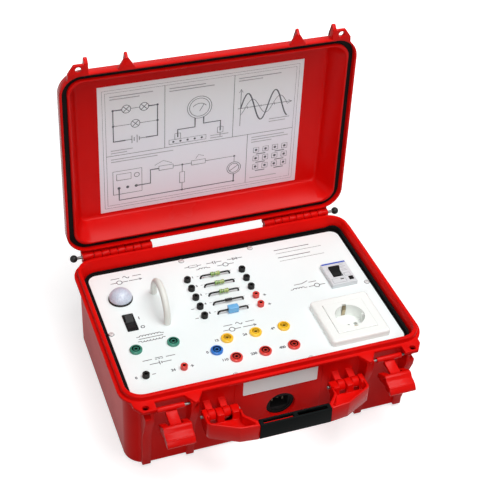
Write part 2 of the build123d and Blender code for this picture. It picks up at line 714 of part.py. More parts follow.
with BuildPart() as earth_clips:
    for sign in (-1, 1):
        with BuildSketch(side(OUTLET[0] - 2.4)):
            tip = OUTLET[1] + sign * (RECESS_R - 2.0)
            root = OUTLET[1] + sign * (RECESS_R + 0.6)
            Polygon((root, 95), (root, INSERT_TOP - 1.5), (root - sign * 0.8, INSERT_TOP - 0.8), (tip, 106),
                    (tip, 104.6), (root - sign * 0.9, 95), align=None)
        extrude(amount=4.8)
earth_clips.part.label = "earth_clips"
export_step(earth_clips.part, "parts/earth_clips.step")

with BuildPart() as outlet_terminals:
    with BuildSketch(level(68)):
        with Locations((OUTLET[0], OUTLET[1] + 12), (OUTLET[0], OUTLET[1] - 12)):
            Rectangle(34, 12)
    extrude(amount=10)
outlet_terminals.part.label = "outlet_terminals"
export_step(outlet_terminals.part, "parts/outlet_terminals.step")

# Mains inlet behind the round hole in the front wall
INLET_FACE_Y = -127.0
with BuildPart() as inlet_body:
    with BuildSketch(Plane.XZ.offset(-INLET_FACE_Y - 34)):
        with Locations((INLET_X, INLET_Z)):
            Circle(INLET_R)
    extrude(amount=34)
    with BuildSketch(Plane.XZ.offset(-INLET_FACE_Y - 1.5)):
        with Locations((INLET_X, INLET_Z)):
            Circle(15)
    extrude(amount=2, mode=Mode.SUBTRACT)
    with BuildSketch(Plane.XZ.offset(-INLET_FACE_Y - 18)):
        with Locations((INLET_X, INLET_Z)):
            RectangleRounded(24, 16.5, 3)
    extrude(amount=20, mode=Mode.SUBTRACT)
inlet_body.part.label = "inlet_body"
export_step(inlet_body.part, "parts/inlet_body.step")

with BuildPart() as inlet_pins:
    with BuildSketch(Plane.XZ.offset(-INLET_FACE_Y - 18)):
        with Locations(*[(INLET_X + x, INLET_Z + z) for x, z in ((-7, -2), (7, -2), (0, 2))]):
            Rectangle(2, 4)
    extrude(amount=10)
inlet_pins.part.label = "inlet_pins"
export_step(inlet_pins.part, "parts/inlet_pins.step")

# Transformer on the floor of the shell
TRAFO = (-70.0, 20.0)
CORE_W = 78.0
CORE_H = 65.0
CORE_T = 32.0
CORE_LOW = FLOOR_TOP + 2
LEG_W = 26.0
WINDOW_W = 13.0
with BuildPart() as transformer_core:
    with BuildSketch(Plane.XZ.offset(-TRAFO[1] - CORE_T / 2)):
        with Locations((TRAFO[0], CORE_LOW + CORE_H / 2)):
            Rectangle(CORE_W, CORE_H)
            with Locations((-(LEG_W + WINDOW_W) / 2, 0), ((LEG_W + WINDOW_W) / 2, 0)):
                Rectangle(WINDOW_W, CORE_H - LEG_W, mode=Mode.SUBTRACT)
    extrude(amount=CORE_T)
transformer_core.part.label = "transformer_core"
export_step(transformer_core.part, "parts/transformer_core.step")

with BuildPart() as transformer_winding:
    with BuildSketch(level(CORE_LOW + LEG_W / 2 + 0.5)):
        with Locations(TRAFO):
            RectangleRounded(LEG_W + 2 * WINDOW_W - 1, CORE_T + 2 * WINDOW_W - 1, 6)
            Rectangle(LEG_W + 0.4, CORE_T + 0.4, mode=Mode.SUBTRACT)
    extrude(amount=CORE_H - LEG_W - 1)
transformer_winding.part.label = "transformer_winding"
export_step(transformer_winding.part, "parts/transformer_winding.step")

with BuildPart() as transformer_bracket:
    with BuildSketch(level(FLOOR_TOP)):
        with Locations(TRAFO):
            Rectangle(CORE_W + 28, 24)
            with Locations((-CORE_W / 2 - 8, 0), (CORE_W / 2 + 8, 0)):
                Circle(2.2, mode=Mode.SUBTRACT)
    extrude(amount=CORE_LOW - FLOOR_TOP)
transformer_bracket.part.label = "transformer_bracket"
export_step(transformer_bracket.part, "parts/transformer_bracket.step")

# Circuit board, and the supports that hold it and the rail up from the floor
BOARD = (50.0, 35.0)
BOARD_Z = 18.0
with BuildPart() as circuit_board:
    with BuildSketch(level(BOARD_Z)):
        with Locations(BOARD):
            Rectangle(100, 80)
            with GridLocations(88, 68, 2, 2):
                Circle(1.6, mode=Mode.SUBTRACT)
    extrude(amount=1.6)
circuit_board.part.label = "circuit_board"
export_step(circuit_board.part, "parts/circuit_board.step")

with BuildPart() as inner_supports:
    with BuildSketch(level(FLOOR_TOP)):
        with Locations(BOARD):
            with GridLocations(88, 68, 2, 2):
                RegularPolygon(radius=3.6, side_count=6)
                Circle(1.6, mode=Mode.SUBTRACT)
    extrude(amount=BOARD_Z - FLOOR_TOP)
    with BuildSketch(level(FLOOR_TOP)):
        with Locations((RCD_CENTRE[0] - 26, RCD_CENTRE[1]), (RCD_CENTRE[0] + 18, RCD_CENTRE[1])):
            Rectangle(7, 22)
    extrude(amount=45 - FLOOR_TOP)
inner_supports.part.label = "inner_supports"
export_step(inner_supports.part, "parts/inner_supports.step")

with BuildPart() as board_parts:
    for x, y, width, depth, height in ((-30, 18, 20, 16, 14), (-30, -14, 24, 20, 9), (10, 16, 12, 12, 22)):
        with BuildSketch(level(BOARD_Z + 1.6)):
            with Locations((BOARD[0] + x, BOARD[1] + y)):
                Rectangle(width, depth)
        extrude(amount=height)
    with BuildSketch(level(BOARD_Z + 1.6)):
        with Locations(*[(BOARD[0] + x, BOARD[1] - 16) for x in (6, 20, 34)]):
            Circle(5)
    extrude(amount=16)
board_parts.part.label = "board_parts"
export_step(board_parts.part, "parts/board_parts.step")

# Inner leads: inlet to board, transformer to board, and board to the residual current device
LEAD_ROUTES = [
    ((0, -92, 53), (0, -60, 53), (22, -26, 46), (22, 0, 40), (22, 0, 19.6)),
    ((-30, 48, 40), (-16, 48, 40), (-2, 44, 34), (6, 42, 26), (6, 42, 19.6)),
    ((96, 60, 19.6), (96, 60, 45), (100, 44, 58), (112, 36, 66), (127, 36, 66)),
]
LEAD_ROUNDS = 6.0
with BuildPart() as inner_leads:
    for points in LEAD_ROUTES:
        with BuildLine() as route:
            FilletPolyline(*points, radius=LEAD_ROUNDS)
        with BuildSketch(Plane(origin=points[0], z_dir=Vector(*points[1]) - Vector(*points[0]))):
            Circle(1.8)
        sweep(path=route.wires()[0])
inner_leads.part.label = "inner_leads"
export_step(inner_leads.part, "parts/inner_leads.step")

# Hinge pins with their ball knobs
for name, sign in (("left", -1), ("right", 1)):
    with BuildPart() as hinge_pin:
        with BuildSketch(side(sign * PIN_INNER_X)):
            with Locations((HINGE_Y, HINGE_Z)):
                Circle(HINGE_PIN_R)
        extrude(amount=sign * (PIN_OUTER_X - PIN_INNER_X))
    hinge_pin.part.label = f"hinge_pin_{name}"
    export_step(hinge_pin.part, f"parts/hinge_pin_{name}.step")
    with BuildPart() as hinge_knob:
        with Locations((sign * KNOB_X, HINGE_Y, HINGE_Z)):
            Sphere(KNOB_R)
        with BuildSketch(side(sign * PIN_INNER_X)):
            with Locations((HINGE_Y, HINGE_Z)):
                Circle(HINGE_PIN_R)
        extrude(amount=sign * (PIN_OUTER_X - PIN_INNER_X), mode=Mode.SUBTRACT)
    hinge_knob.part.label = f"hinge_knob_{name}"
    export_step(hinge_knob.part, f"parts/hinge_knob_{name}.step")

# Latches: a link that swings on a steel pin in the shell, and a lever that swings on the link
TONGUE_PROFILE = [
    (LATCH_PIN[0], LATCH_PIN[1] - 1), (LATCH_PIN[0], LATCH_PIN[1] - 9), (LATCH_PIN[0] - 10, 94.5),
    (LEVER_PIN[0], LEVER_PIN[1] - 3), (LEVER_PIN[0], LEVER_PIN[1] + 3), (LATCH_PIN[0] - 6, 98.5),
]
LEVER_PROFILE = [
    (-164.5, 96.5), (-166.5, 99.5), (-169.5, 100.6), (-172.5, 99.6), (-175, 96.4), (-177.5, 95.2),
    (-181.5, 94.6), (-185.5, 92.6), (-188.8, 88.6), (-189.8, 86), (-188.8, 84.4), (-181, 83.5),
    (-175, 84.5), (-170, 88.3), (-163.5, 90.5),
]
CHEEK_PROFILE = [
    (-163, 97.0), (-170, 100), (-176, 88), (-168.5, 84.5), (-158.7, 82.3), (-156.2, 84.8), (-152.4, 81.4),
    (-150.5, 84.5), (-152.5, 89.5),
]
PAD_PROFILE = [(-186.5, 87), (-184.5, 80), (-182, 79.5), (-178, 86)]
PAD_W = 22.0
TONGUE_ROOM = [(0, 3.6), (-4.2, 0.5), (-6.5, -4.5), (-18, -18), (20, -30), (14, 9)]
with BuildPart() as latch_pins:
    for mid in (LATCH_X, -LATCH_X):
        with BuildSketch(side(mid - 25)):
            with Locations(LATCH_PIN):
                Circle(LATCH_PIN_R)
        extrude(amount=50)
latch_pins.part.label = "latch_pins"
export_step(latch_pins.part, "parts/latch_pins.step")

for name, sign in (("left", -1), ("right", 1)):
    mid = sign * LATCH_X
    with BuildPart() as latch_link:
        with BuildSketch(side(mid - LATCH_BAR_W / 2)):
            with Locations(LATCH_PIN):
                Circle(LATCH_BAR_R)
        extrude(amount=LATCH_BAR_W)
        with BuildSketch(side(mid - TONGUE_W / 2)):
            Polygon(*TONGUE_PROFILE, align=None)
            with Locations(LEVER_PIN):
                Circle(3)
        extrude(amount=TONGUE_W)
        with BuildSketch(side(mid - LATCH_BAR_W / 2)):
            with Locations(LATCH_PIN):
                Circle(LATCH_PIN_R + RUNNING_GAP)
        extrude(amount=LATCH_BAR_W, mode=Mode.SUBTRACT)
        with BuildSketch(side(mid - LATCH_BAR_W / 2)):
            with Locations(LEVER_PIN):
                Circle(LEVER_PIN_R)
        extrude(amount=LATCH_BAR_W, mode=Mode.SUBTRACT)
    latch_link.part.label = f"latch_link_{name}"
    export_step(latch_link.part, f"parts/latch_link_{name}.step")
    with BuildPart() as lever_pin:
        with BuildSketch(side(mid - CHEEK_OUT)):
            with Locations(LEVER_PIN):
                Circle(LEVER_PIN_R)
        extrude(amount=2 * CHEEK_OUT)
    lever_pin.part.label = f"lever_pin_{name}"
    export_step(lever_pin.part, f"parts/lever_pin_{name}.step")
    with BuildPart() as latch_lever:
        with BuildSketch(side(mid - LEVER_W / 2)):
            Polygon(*LEVER_PROFILE, align=None)
        extrude(amount=LEVER_W)
        for low in (mid - LEVER_W / 2, mid + CHEEK_IN):
            with BuildSketch(side(low)):
                Polygon(*CHEEK_PROFILE, align=None)
            extrude(amount=LEVER_W / 2 - CHEEK_IN)
        with BuildSketch(side(mid - PAD_W / 2)):
            Polygon(*PAD_PROFILE, align=None)
        extrude(amount=PAD_W)
        # Room for the tongue's round end, and the bore on the lever pin
        with BuildSketch(side(mid - TONGUE_W / 2 - 0.5)):
            with Locations(LEVER_PIN):
                Circle(3.6)
            Polygon(*[(LEVER_PIN[0] + y, LEVER_PIN[1] + z) for y, z in TONGUE_ROOM], align=None)
        extrude(amount=TONGUE_W + 1, mode=Mode.SUBTRACT)
        with BuildSketch(side(mid - LEVER_W / 2)):
            with Locations(LEVER_PIN):
                Circle(LEVER_PIN_R + RUNNING_GAP)
        extrude(amount=LEVER_W, mode=Mode.SUBTRACT)
    latch_lever.part.label = f"latch_lever_{name}"
    export_step(latch_lever.part, f"parts/latch_lever_{name}.step")

# Carrying handle: a tray-like frame on two pins, with a soft grip
ARM_OUT = [(105.5, -146), (105.5, -170.5), (70, -188.5), (GRIP_HALF, -191)]
ARM_IN = [(GRIP_HALF, -182.3), (58.5, -168.5), (58.5, -146)]
TRAY = [(102, -158), (102, -168.3), (68.8, -185.1), (51, -187), (50, -185.2), (61.5, -170.5), (61.5, -158)]
FRAME_ROOT_Y = -159.0

with BuildPart() as handle_frame:
    with BuildSketch(level(HANDLE_LOW)) as handle_plan:
        Polygon(*ARM_OUT, *ARM_IN, align=None)
        Polygon(*mirrored(ARM_OUT + ARM_IN), align=None)
        with Locations((0, GRIP_CORE_Y)):
            Rectangle(2 * GRIP_HALF + 1, GRIP_CORE_D)
        for corner in (ARM_OUT[1], ARM_OUT[2], ARM_IN[1]):
            for x in (corner[0], -corner[0]):
                fillet(handle_plan.vertices().sort_by_distance((x, corner[1], HANDLE_LOW))[0], radius=7)
    extrude(amount=HANDLE_HIGH - HANDLE_LOW)
    # Slim the bar inside the grip, sink the trays, and clear the hinge line
    with BuildSketch(level(HANDLE_LOW)):
        with Locations((0, GRIP_CORE_Y)):
            Rectangle(2 * GRIP_HALF, 20)
    extrude(amount=4, mode=Mode.SUBTRACT)
    with BuildSketch(level(HANDLE_HIGH - 3)):
        with Locations((0, GRIP_CORE_Y)):
            Rectangle(2 * GRIP_HALF, 20)
    extrude(amount=4, mode=Mode.SUBTRACT)
    with BuildSketch(level(HANDLE_WEB_Z)) as trays:
        Polygon(*TRAY, align=None)
        Polygon(*mirrored(TRAY), align=None)
        for corner in (TRAY[1], TRAY[2]):
            for x in (corner[0], -corner[0]):
                fillet(trays.vertices().sort_by_distance((x, corner[1], HANDLE_WEB_Z))[0], radius=5)
    extrude(amount=20, mode=Mode.SUBTRACT)
    with BuildSketch(level(HANDLE_LOW)):
        with Locations((0, FRAME_ROOT_Y + 15)):
            Rectangle(2 * 98.9, 30)
    extrude(amount=40, mode=Mode.SUBTRACT)
    with BuildSketch(side(-106)):
        Polygon((FRAME_ROOT_Y + 2, HANDLE_LOW - 1), (FRAME_ROOT_Y + 20, HANDLE_LOW - 1),
                (FRAME_ROOT_Y + 20, HANDLE_PIN[1] - 4), align=None)
    extrude(amount=212, mode=Mode.SUBTRACT)
    for low, high in both_sides(HANDLE_KNUCKLES):
        with BuildSketch(side(low)):
            with Locations(HANDLE_PIN):
                Circle(HANDLE_BARREL_R)
            Polygon((HANDLE_PIN[0], HANDLE_PIN[1] + HANDLE_BARREL_R),
                    (HANDLE_PIN[0], HANDLE_PIN[1] - HANDLE_BARREL_R),
                    (FRAME_ROOT_Y - 2, HANDLE_LOW + 3), (FRAME_ROOT_Y - 2, HANDLE_HIGH - 1), align=None)
        extrude(amount=high - low)
    with BuildSketch(side(-106)):
        with Locations(HANDLE_PIN):
            Circle(HANDLE_PIN_R + RUNNING_GAP)
    extrude(amount=212, mode=Mode.SUBTRACT)
handle_frame.part.label = "handle_frame"
export_step(handle_frame.part, "parts/handle_frame.step")

GRIP_PROFILE = [
    (GRIP_BACK_Y, HANDLE_LOW), (GRIP_BACK_Y, HANDLE_HIGH + 1), (GRIP_FRONT_Y, HANDLE_HIGH + 1),
    (GRIP_FRONT_Y - 1, HANDLE_LOW + 4), (GRIP_FRONT_Y + 3, HANDLE_LOW - 1),
]
with BuildPart() as handle_grip:
    with BuildSketch(side(-GRIP_HALF)):
        Polygon(*GRIP_PROFILE, align=None)
        with Locations((GRIP_CORE_Y, (HANDLE_LOW + 4 + HANDLE_HIGH - 3) / 2)):
            Rectangle(GRIP_CORE_D, HANDLE_HIGH - HANDLE_LOW - 7, mode=Mode.SUBTRACT)
    extrude(amount=2 * GRIP_HALF)
    with BuildSketch(level(HANDLE_HIGH - 4)):
        with Locations((-22, GRIP_CORE_Y), (22, GRIP_CORE_Y)):
            RectangleRounded(38, 4.6, 0.8)
    extrude(amount=10, mode=Mode.SUBTRACT)
handle_grip.part.label = "handle_grip"
export_step(handle_grip.part, "parts/handle_grip.step")

with BuildPart() as handle_pins:
    for x in (57.5, -107.5):
        with BuildSketch(side(x)):
            with Locations(HANDLE_PIN):
                Circle(HANDLE_PIN_R)
        extrude(amount=50)
handle_pins.part.label = "handle_pins"
export_step(handle_pins.part, "parts/handle_pins.step")

# Lid
with BuildPart() as lid_shell:
    with BuildSketch(lid_level(LID_RIM_Z)):
        with Locations((0, -HINGE_Y)):
            RectangleRounded(FLANGE_W, FLANGE_D, FLANGE_R)
    extrude(amount=LID_BAND_TOP - LID_RIM_Z)
    with BuildSketch(lid_level(LID_BAND_TOP)):
        with Locations((0, -HINGE_Y)):
            RectangleRounded(LID_BODY_W, LID_BODY_D, WALL_R)
    extrude(amount=LID_TOP - LID_BAND_TOP, taper=LID_TAPER)
    top_face = lid_shell.faces().sort_by(Axis(lid_plane.origin, lid_plane.z_dir))[-1]
    fillet(top_face.edges(), radius=9)
    # Ears, fins and their gussets on the front edge
    with BuildSketch(lid_level(LID_RIM_Z)):
        for outline in (EAR_OUTLINE, mirrored(EAR_OUTLINE), FIN_OUTLINE, mirrored(FIN_OUTLINE)):
            Polygon(*in_lid(outline), align=None)
        with Locations(*in_lid([EAR_HOLE, (-EAR_HOLE[0], EAR_HOLE[1])])):
            Circle(EAR_HOLE_R, mode=Mode.SUBTRACT)
    extrude(amount=EAR_T)
    for x, width in ((111, 4), (-115, 4), (161, 5), (-166, 5)):
        with BuildSketch(lid_side.offset(x)):
            Polygon(*[(y - HINGE_Y, z - HINGE_Z) for y, z in (
                (-136, LID_RIM_Z), (-151.5, LID_RIM_Z), (GUSSET_TIP_Y, LID_RIM_Z + 5),
                (GUSSET_TIP_Y, LID_RIM_Z + 8), (-140, LID_BAND_TOP + 1.5),
                (-124, LID_BAND_TOP + 1.5))], align=None)
        extrude(amount=width)
    # Hinge plate and knuckles on the back edge
    for x in (shelf_mid, -shelf_mid):
        with BuildSketch(lid_side.offset(x - shelf_w / 2)):
            Polygon((-10, BARREL_R + 0.5), (3, BARREL_R + 0.5), (3, BARREL_R + 3.5), (-10, BARREL_R + 10),
                    align=None)
        extrude(amount=shelf_w)
    for low, high in LID_KNUCKLES:
        with BuildSketch(lid_side.offset(low)):
            Circle(BARREL_R)
            Polygon((-BARREL_R, 0), (3, 0), (3, BARREL_R + 1), (-BARREL_R, BARREL_R + 1), align=None)
        extrude(amount=high - low)
    with BuildSketch(lid_side.offset(-PIN_OUTER_X)):
        Circle(HINGE_PIN_R + RUNNING_GAP)
    extrude(amount=2 * PIN_OUTER_X, mode=Mode.SUBTRACT)
    # Hollow, lip and seal groove
    with BuildSketch(lid_level(LID_RIM_Z)):
        with Locations((0, -HINGE_Y)):
            RectangleRounded(GROOVE_OUT_W, GROOVE_OUT_D, BEAD_R + 0.5)
    extrude(amount=LID_LIP_Z - LID_RIM_Z, mode=Mode.SUBTRACT)
    with BuildSketch(lid_level(LID_LIP_Z)):
        with Locations((0, -HINGE_Y)):
            RectangleRounded(GROOVE_OUT_W, GROOVE_OUT_D, BEAD_R + 0.5)
            RectangleRounded(GROOVE_IN_W, GROOVE_IN_D, BEAD_R - BEAD_T - 0.8, mode=Mode.SUBTRACT)
    extrude(amount=GROOVE_TOP - LID_LIP_Z, mode=Mode.SUBTRACT)
    with BuildPart(mode=Mode.PRIVATE) as lid_hollow:
        with BuildSketch(lid_level(LID_LIP_Z)):
            with Locations((0, -HINGE_Y)):
                RectangleRounded(LID_MOUTH_W, LID_MOUTH_D, 22)
        extrude(amount=LID_INSIDE_Z - LID_LIP_Z, taper=LID_TAPER)
        inner_face = lid_hollow.faces().sort_by(Axis(lid_plane.origin, lid_plane.z_dir))[-1]
        fillet(inner_face.edges(), radius=5)
    add(lid_hollow.part, mode=Mode.SUBTRACT)
lid_shell.part.label = "lid_shell"
export_step(lid_shell.part, "parts/lid_shell.step")

with BuildPart() as lid_seal:
    with BuildSketch(lid_level(SEAL_Z)):
        with Locations((0, -HINGE_Y)):
            RectangleRounded(GROOVE_OUT_W, GROOVE_OUT_D, BEAD_R + 0.5)
            RectangleRounded(GROOVE_IN_W, GROOVE_IN_D, BEAD_R - BEAD_T - 0.8, mode=Mode.SUBTRACT)
    extrude(amount=GROOVE_TOP - SEAL_Z)
lid_seal.part.label = "lid_seal"
export_step(lid_seal.part, "parts/lid_seal.step")

with BuildPart() as instruction_sheet:
    with BuildSketch(lid_level(LID_INSIDE_Z - SHEET_T)):
        with Locations((SHEET_CENTRE[0], SHEET_CENTRE[1] - HINGE_Y)):
            Rectangle(SHEET_W, SHEET_H)
    extrude(amount=SHEET_T)
instruction_sheet.part.label = "instruction_sheet"
export_step(instruction_sheet.part, "parts/instruction_sheet.step")
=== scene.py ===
# %% [markdown]
# # An electrical demonstration case, dressed in Blender
#
# The case arrives from CAD as separate pieces, already in place and in metres. This lesson gives every
# piece its finish, softens the moulded edges, and adds what CAD leaves out: the black strip round the
# panel, the caps and collars of the jacks and sockets, the printing and the drawings. We begin by loading
# the frame.

import json
import math

import bmesh
import bpy
from mathutils import Matrix, Vector
from mathutils.bvhtree import BVHTree


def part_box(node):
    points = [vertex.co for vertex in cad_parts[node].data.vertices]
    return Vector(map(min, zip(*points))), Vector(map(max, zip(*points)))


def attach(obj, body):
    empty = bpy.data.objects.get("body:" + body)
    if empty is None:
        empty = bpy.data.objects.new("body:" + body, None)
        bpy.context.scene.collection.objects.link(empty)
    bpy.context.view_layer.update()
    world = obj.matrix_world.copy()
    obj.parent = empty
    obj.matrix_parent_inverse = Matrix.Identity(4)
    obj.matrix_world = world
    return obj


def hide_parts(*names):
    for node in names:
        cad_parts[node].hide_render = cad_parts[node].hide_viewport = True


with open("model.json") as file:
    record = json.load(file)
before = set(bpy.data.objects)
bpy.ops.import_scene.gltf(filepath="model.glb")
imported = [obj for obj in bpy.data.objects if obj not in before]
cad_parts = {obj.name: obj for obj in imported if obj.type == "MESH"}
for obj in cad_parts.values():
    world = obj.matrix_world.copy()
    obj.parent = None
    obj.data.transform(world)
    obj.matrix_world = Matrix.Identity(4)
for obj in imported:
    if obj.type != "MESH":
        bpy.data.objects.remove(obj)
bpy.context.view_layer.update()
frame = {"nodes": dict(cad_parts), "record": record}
MM = 0.001

# %% [markdown]
# ## The camera
#
# The photograph looks down on the case from the front left with a long lens, so its edges stay nearly
# parallel. A camera object could be aimed with a constraint, but a plain matrix is simpler to read and
# nothing can move it later. The small shift slides the picture up or down, as the rising front of a view
# camera does, and leaves the upright edges as they are.

# %% Place the camera
eye = bpy.data.objects.new("camera", bpy.data.cameras.new("camera"))
bpy.context.scene.collection.objects.link(eye)
LENS_MM, RISING_FRONT = 86.77, -0.102
EYE_AT = (-0.4315, -1.0782, 1.1325)
TURN, TILT, ROLL = -21.523, 53.841, 3.072
eye.data.lens = LENS_MM
eye.data.shift_y = RISING_FRONT
eye.matrix_world = (
    Matrix.Translation(EYE_AT)
    @ Matrix.Rotation(math.radians(TURN), 4, "Z")
    @ Matrix.Rotation(math.radians(TILT), 4, "X")
    @ Matrix.Rotation(math.radians(ROLL), 4, "Z")
)
bpy.context.scene.camera = eye
bpy.context.scene.view_settings.view_transform = "Standard"
print("camera", [round(value, 3) for value in eye.location], "lens", eye.data.lens)

# %% [markdown]
# ## Building a material from nodes
#
# Every finish here is a Principled shader fed by a shared group. Making nodes by hand takes many lines,
# so three small helpers add a node with its settings, stretch a value from one range to another, and start
# a group. The group is the heart of it: a moulded surface has a fine spark-eroded grain, a slow drift in
# tone, and a roughness that varies a little. It reads Object coordinates, so the grain has the same size
# on every piece.

# %% Helpers for nodes
def add_node(tree, kind, **settings):
    """A node of this kind, with its plain inputs and attributes set."""
    node = tree.nodes.new(kind)
    for name, value in settings.items():
        if name in node.inputs:
            node.inputs[name].default_value = value
        else:
            setattr(node, name, value)
    return node


def add_range(tree, source, low, high, to_low=0.0, to_high=1.0):
    """A socket that runs from to_low to to_high while its source runs from low to high."""
    node = tree.nodes.new("ShaderNodeMapRange")
    for label, value in (("From Min", low), ("From Max", high), ("To Min", to_low), ("To Max", to_high)):
        node.inputs[label].default_value = value
    tree.links.new(source, node.inputs["Value"])
    return node.outputs["Result"]


def new_group(name, inputs, outputs):
    """An empty node group with its sockets, and its input and output nodes."""
    group = bpy.data.node_groups.new(name, "ShaderNodeTree")
    for label, (kind, value) in inputs.items():
        socket = group.interface.new_socket(label, in_out="INPUT", socket_type=f"NodeSocket{kind}")
        socket.default_value = value
    for label, kind in outputs.items():
        group.interface.new_socket(label, in_out="OUTPUT", socket_type=f"NodeSocket{kind}")
    return group, group.nodes.new("NodeGroupInput"), group.nodes.new("NodeGroupOutput")


# %% The moulded surface group
moulded, ins, outs = new_group(
    "moulded_surface",
    {
        "Tone": ("Color", (0.8, 0.8, 0.8, 1)),
        "Deep Tone": ("Color", (0.6, 0.6, 0.6, 1)),
        "Grain Scale": ("Float", 900.0),
        "Drift Scale": ("Float", 9.0),
        "Roughness": ("Float", 0.4),
        "Roughness Swing": ("Float", 0.1),
    },
    {"Color": "Color", "Roughness": "Float", "Height": "Float"},
)
link = moulded.links.new
place = add_node(moulded, "ShaderNodeTexCoord")
drift = add_node(moulded, "ShaderNodeTexNoise", Detail=3.0, Roughness=0.6)
grain = add_node(moulded, "ShaderNodeTexNoise", Detail=2.0, Roughness=0.55)
link(place.outputs["Object"], drift.inputs["Vector"])
link(place.outputs["Object"], grain.inputs["Vector"])
link(ins.outputs["Drift Scale"], drift.inputs["Scale"])
link(ins.outputs["Grain Scale"], grain.inputs["Scale"])
blend = add_node(moulded, "ShaderNodeMix", data_type="RGBA")
DRIFT_LOW, DRIFT_HIGH, DRIFT_MIDDLE = 0.35, 0.7, 0.5
link(add_range(moulded, drift.outputs["Fac"], DRIFT_LOW, DRIFT_HIGH), blend.inputs["Factor"])
link(ins.outputs["Tone"], blend.inputs["A"])
link(ins.outputs["Deep Tone"], blend.inputs["B"])
link(blend.outputs["Result"], outs.inputs["Color"])
swing = add_node(moulded, "ShaderNodeMath", operation="SUBTRACT")
swing.inputs[1].default_value = DRIFT_MIDDLE
link(drift.outputs["Fac"], swing.inputs[0])
scaled = add_node(moulded, "ShaderNodeMath", operation="MULTIPLY_ADD")
link(swing.outputs["Value"], scaled.inputs[0])
link(ins.outputs["Roughness Swing"], scaled.inputs[1])
link(ins.outputs["Roughness"], scaled.inputs[2])
link(scaled.outputs["Value"], outs.inputs["Roughness"])
link(grain.outputs["Fac"], outs.inputs["Height"])
print("group", moulded.name, "has", len(moulded.nodes), "nodes")

# %% [markdown]
# Metal pins are drawn rod: fine lines run along them. The same idea serves, with a noise that is
# stretched along one axis, which gives the colour, the roughness and the height of the lines.

# %% The drawn metal group
drawn, ins, outs = new_group(
    "drawn_metal",
    {
        "Tone": ("Color", (0.6, 0.6, 0.6, 1)),
        "Deep Tone": ("Color", (0.4, 0.4, 0.4, 1)),
        "Line Scale": ("Float", 1500.0),
        "Roughness": ("Float", 0.3),
    },
    {"Color": "Color", "Roughness": "Float", "Height": "Float"},
)
link = drawn.links.new
place = add_node(drawn, "ShaderNodeTexCoord")
ALONG_X = (0.03, 1.0, 1.0)
squeeze = add_node(drawn, "ShaderNodeMapping", Scale=ALONG_X)
lines = add_node(drawn, "ShaderNodeTexNoise", Detail=2.0)
link(place.outputs["Object"], squeeze.inputs["Vector"])
link(squeeze.outputs["Vector"], lines.inputs["Vector"])
link(ins.outputs["Line Scale"], lines.inputs["Scale"])
blend = add_node(drawn, "ShaderNodeMix", data_type="RGBA")
link(lines.outputs["Fac"], blend.inputs["Factor"])
link(ins.outputs["Tone"], blend.inputs["A"])
link(ins.outputs["Deep Tone"], blend.inputs["B"])
link(blend.outputs["Result"], outs.inputs["Color"])
LINE_SWING = 0.2
scaled = add_node(drawn, "ShaderNodeMath", operation="MULTIPLY_ADD")
scaled.inputs[1].default_value = LINE_SWING
link(lines.outputs["Fac"], scaled.inputs[0])
link(ins.outputs["Roughness"], scaled.inputs[2])
link(scaled.outputs["Value"], outs.inputs["Roughness"])
link(lines.outputs["Fac"], outs.inputs["Height"])
print("group", drawn.name, "has", len(drawn.nodes), "nodes")


# %% [markdown]
# ## The finishes
#
# A material is then one call: its two tones, its grain and how deep the grain is in millimetres. Values
# that are the same all over are set on the shader itself, such as the coat on glossy plastic. The red and
# black mouldings stand on white and mirror little of it, so their specular level is low.

# %% A function that makes a finish
def finish(name, tone, deep=None, group=moulded, depth_mm=0.02, shader=None, **inputs):
    """A Principled material whose colour, roughness and bump come from a shared group."""
    material = bpy.data.materials.new(name)
    material.use_nodes = True
    tree = material.node_tree
    principled = tree.nodes["Principled BSDF"]
    surface = tree.nodes.new("ShaderNodeGroup")
    surface.node_tree = group
    deep = deep or [0.8 * value for value in tone]
    surface.inputs["Tone"].default_value = (*tone, 1)
    surface.inputs["Deep Tone"].default_value = (*deep, 1)
    for label, value in inputs.items():
        surface.inputs[label.replace("_", " ").title()].default_value = value
    bump = add_node(tree, "ShaderNodeBump", Distance=depth_mm * MM)
    tree.links.new(surface.outputs["Color"], principled.inputs["Base Color"])
    tree.links.new(surface.outputs["Roughness"], principled.inputs["Roughness"])
    tree.links.new(surface.outputs["Height"], bump.inputs["Height"])
    tree.links.new(bump.outputs["Normal"], principled.inputs["Normal"])
    for label, value in (shader or {}).items():
        principled.inputs[label].default_value = value
    return material


# %% Plastics, rubber and metals
RED = (0.74, 0.004, 0.002)
DEEP_RED = (0.64, 0.003, 0.002)
DULL = {"Specular IOR Level": 0.07}
case_red = finish("case_red", RED, DEEP_RED, depth_mm=0.05, grain_scale=1100.0, roughness=0.42,
                  shader=DULL)
LID_RED, LID_DEEP_RED = (0.70, 0.003, 0.002), (0.62, 0.002, 0.001)
SATIN = {"Specular IOR Level": 0.11}
lid_red = finish("lid_red", LID_RED, LID_DEEP_RED, depth_mm=0.02, grain_scale=1100.0, roughness=0.26,
                 shader=SATIN)
handle_red = finish("handle_red", RED, DEEP_RED, depth_mm=0.015, grain_scale=900.0, roughness=0.26,
                    shader=SATIN)
# The panel's white is cooled, less red than green and blue: painted light, offsetting the pink light that
# the red walls throw on it.
panel_white = finish("panel_white", (0.86, 0.93, 0.92), (0.84, 0.91, 0.91), depth_mm=0.006, roughness=0.38)
edge_black = finish("edge_black", (0.006, 0.005, 0.005), (0.004, 0.004, 0.004), depth_mm=0.06,
                    grain_scale=500.0, roughness=0.7, shader=DULL)
black_plastic = finish("black_plastic", (0.014, 0.013, 0.012), (0.009, 0.009, 0.009), depth_mm=0.01,
                       roughness=0.3, shader={"Specular IOR Level": 0.2})
grip_black = finish("grip_black", (0.005, 0.006, 0.006), (0.003, 0.004, 0.004), depth_mm=0.08,
                    grain_scale=700.0, roughness=0.5, shader={"Specular IOR Level": 0.04})
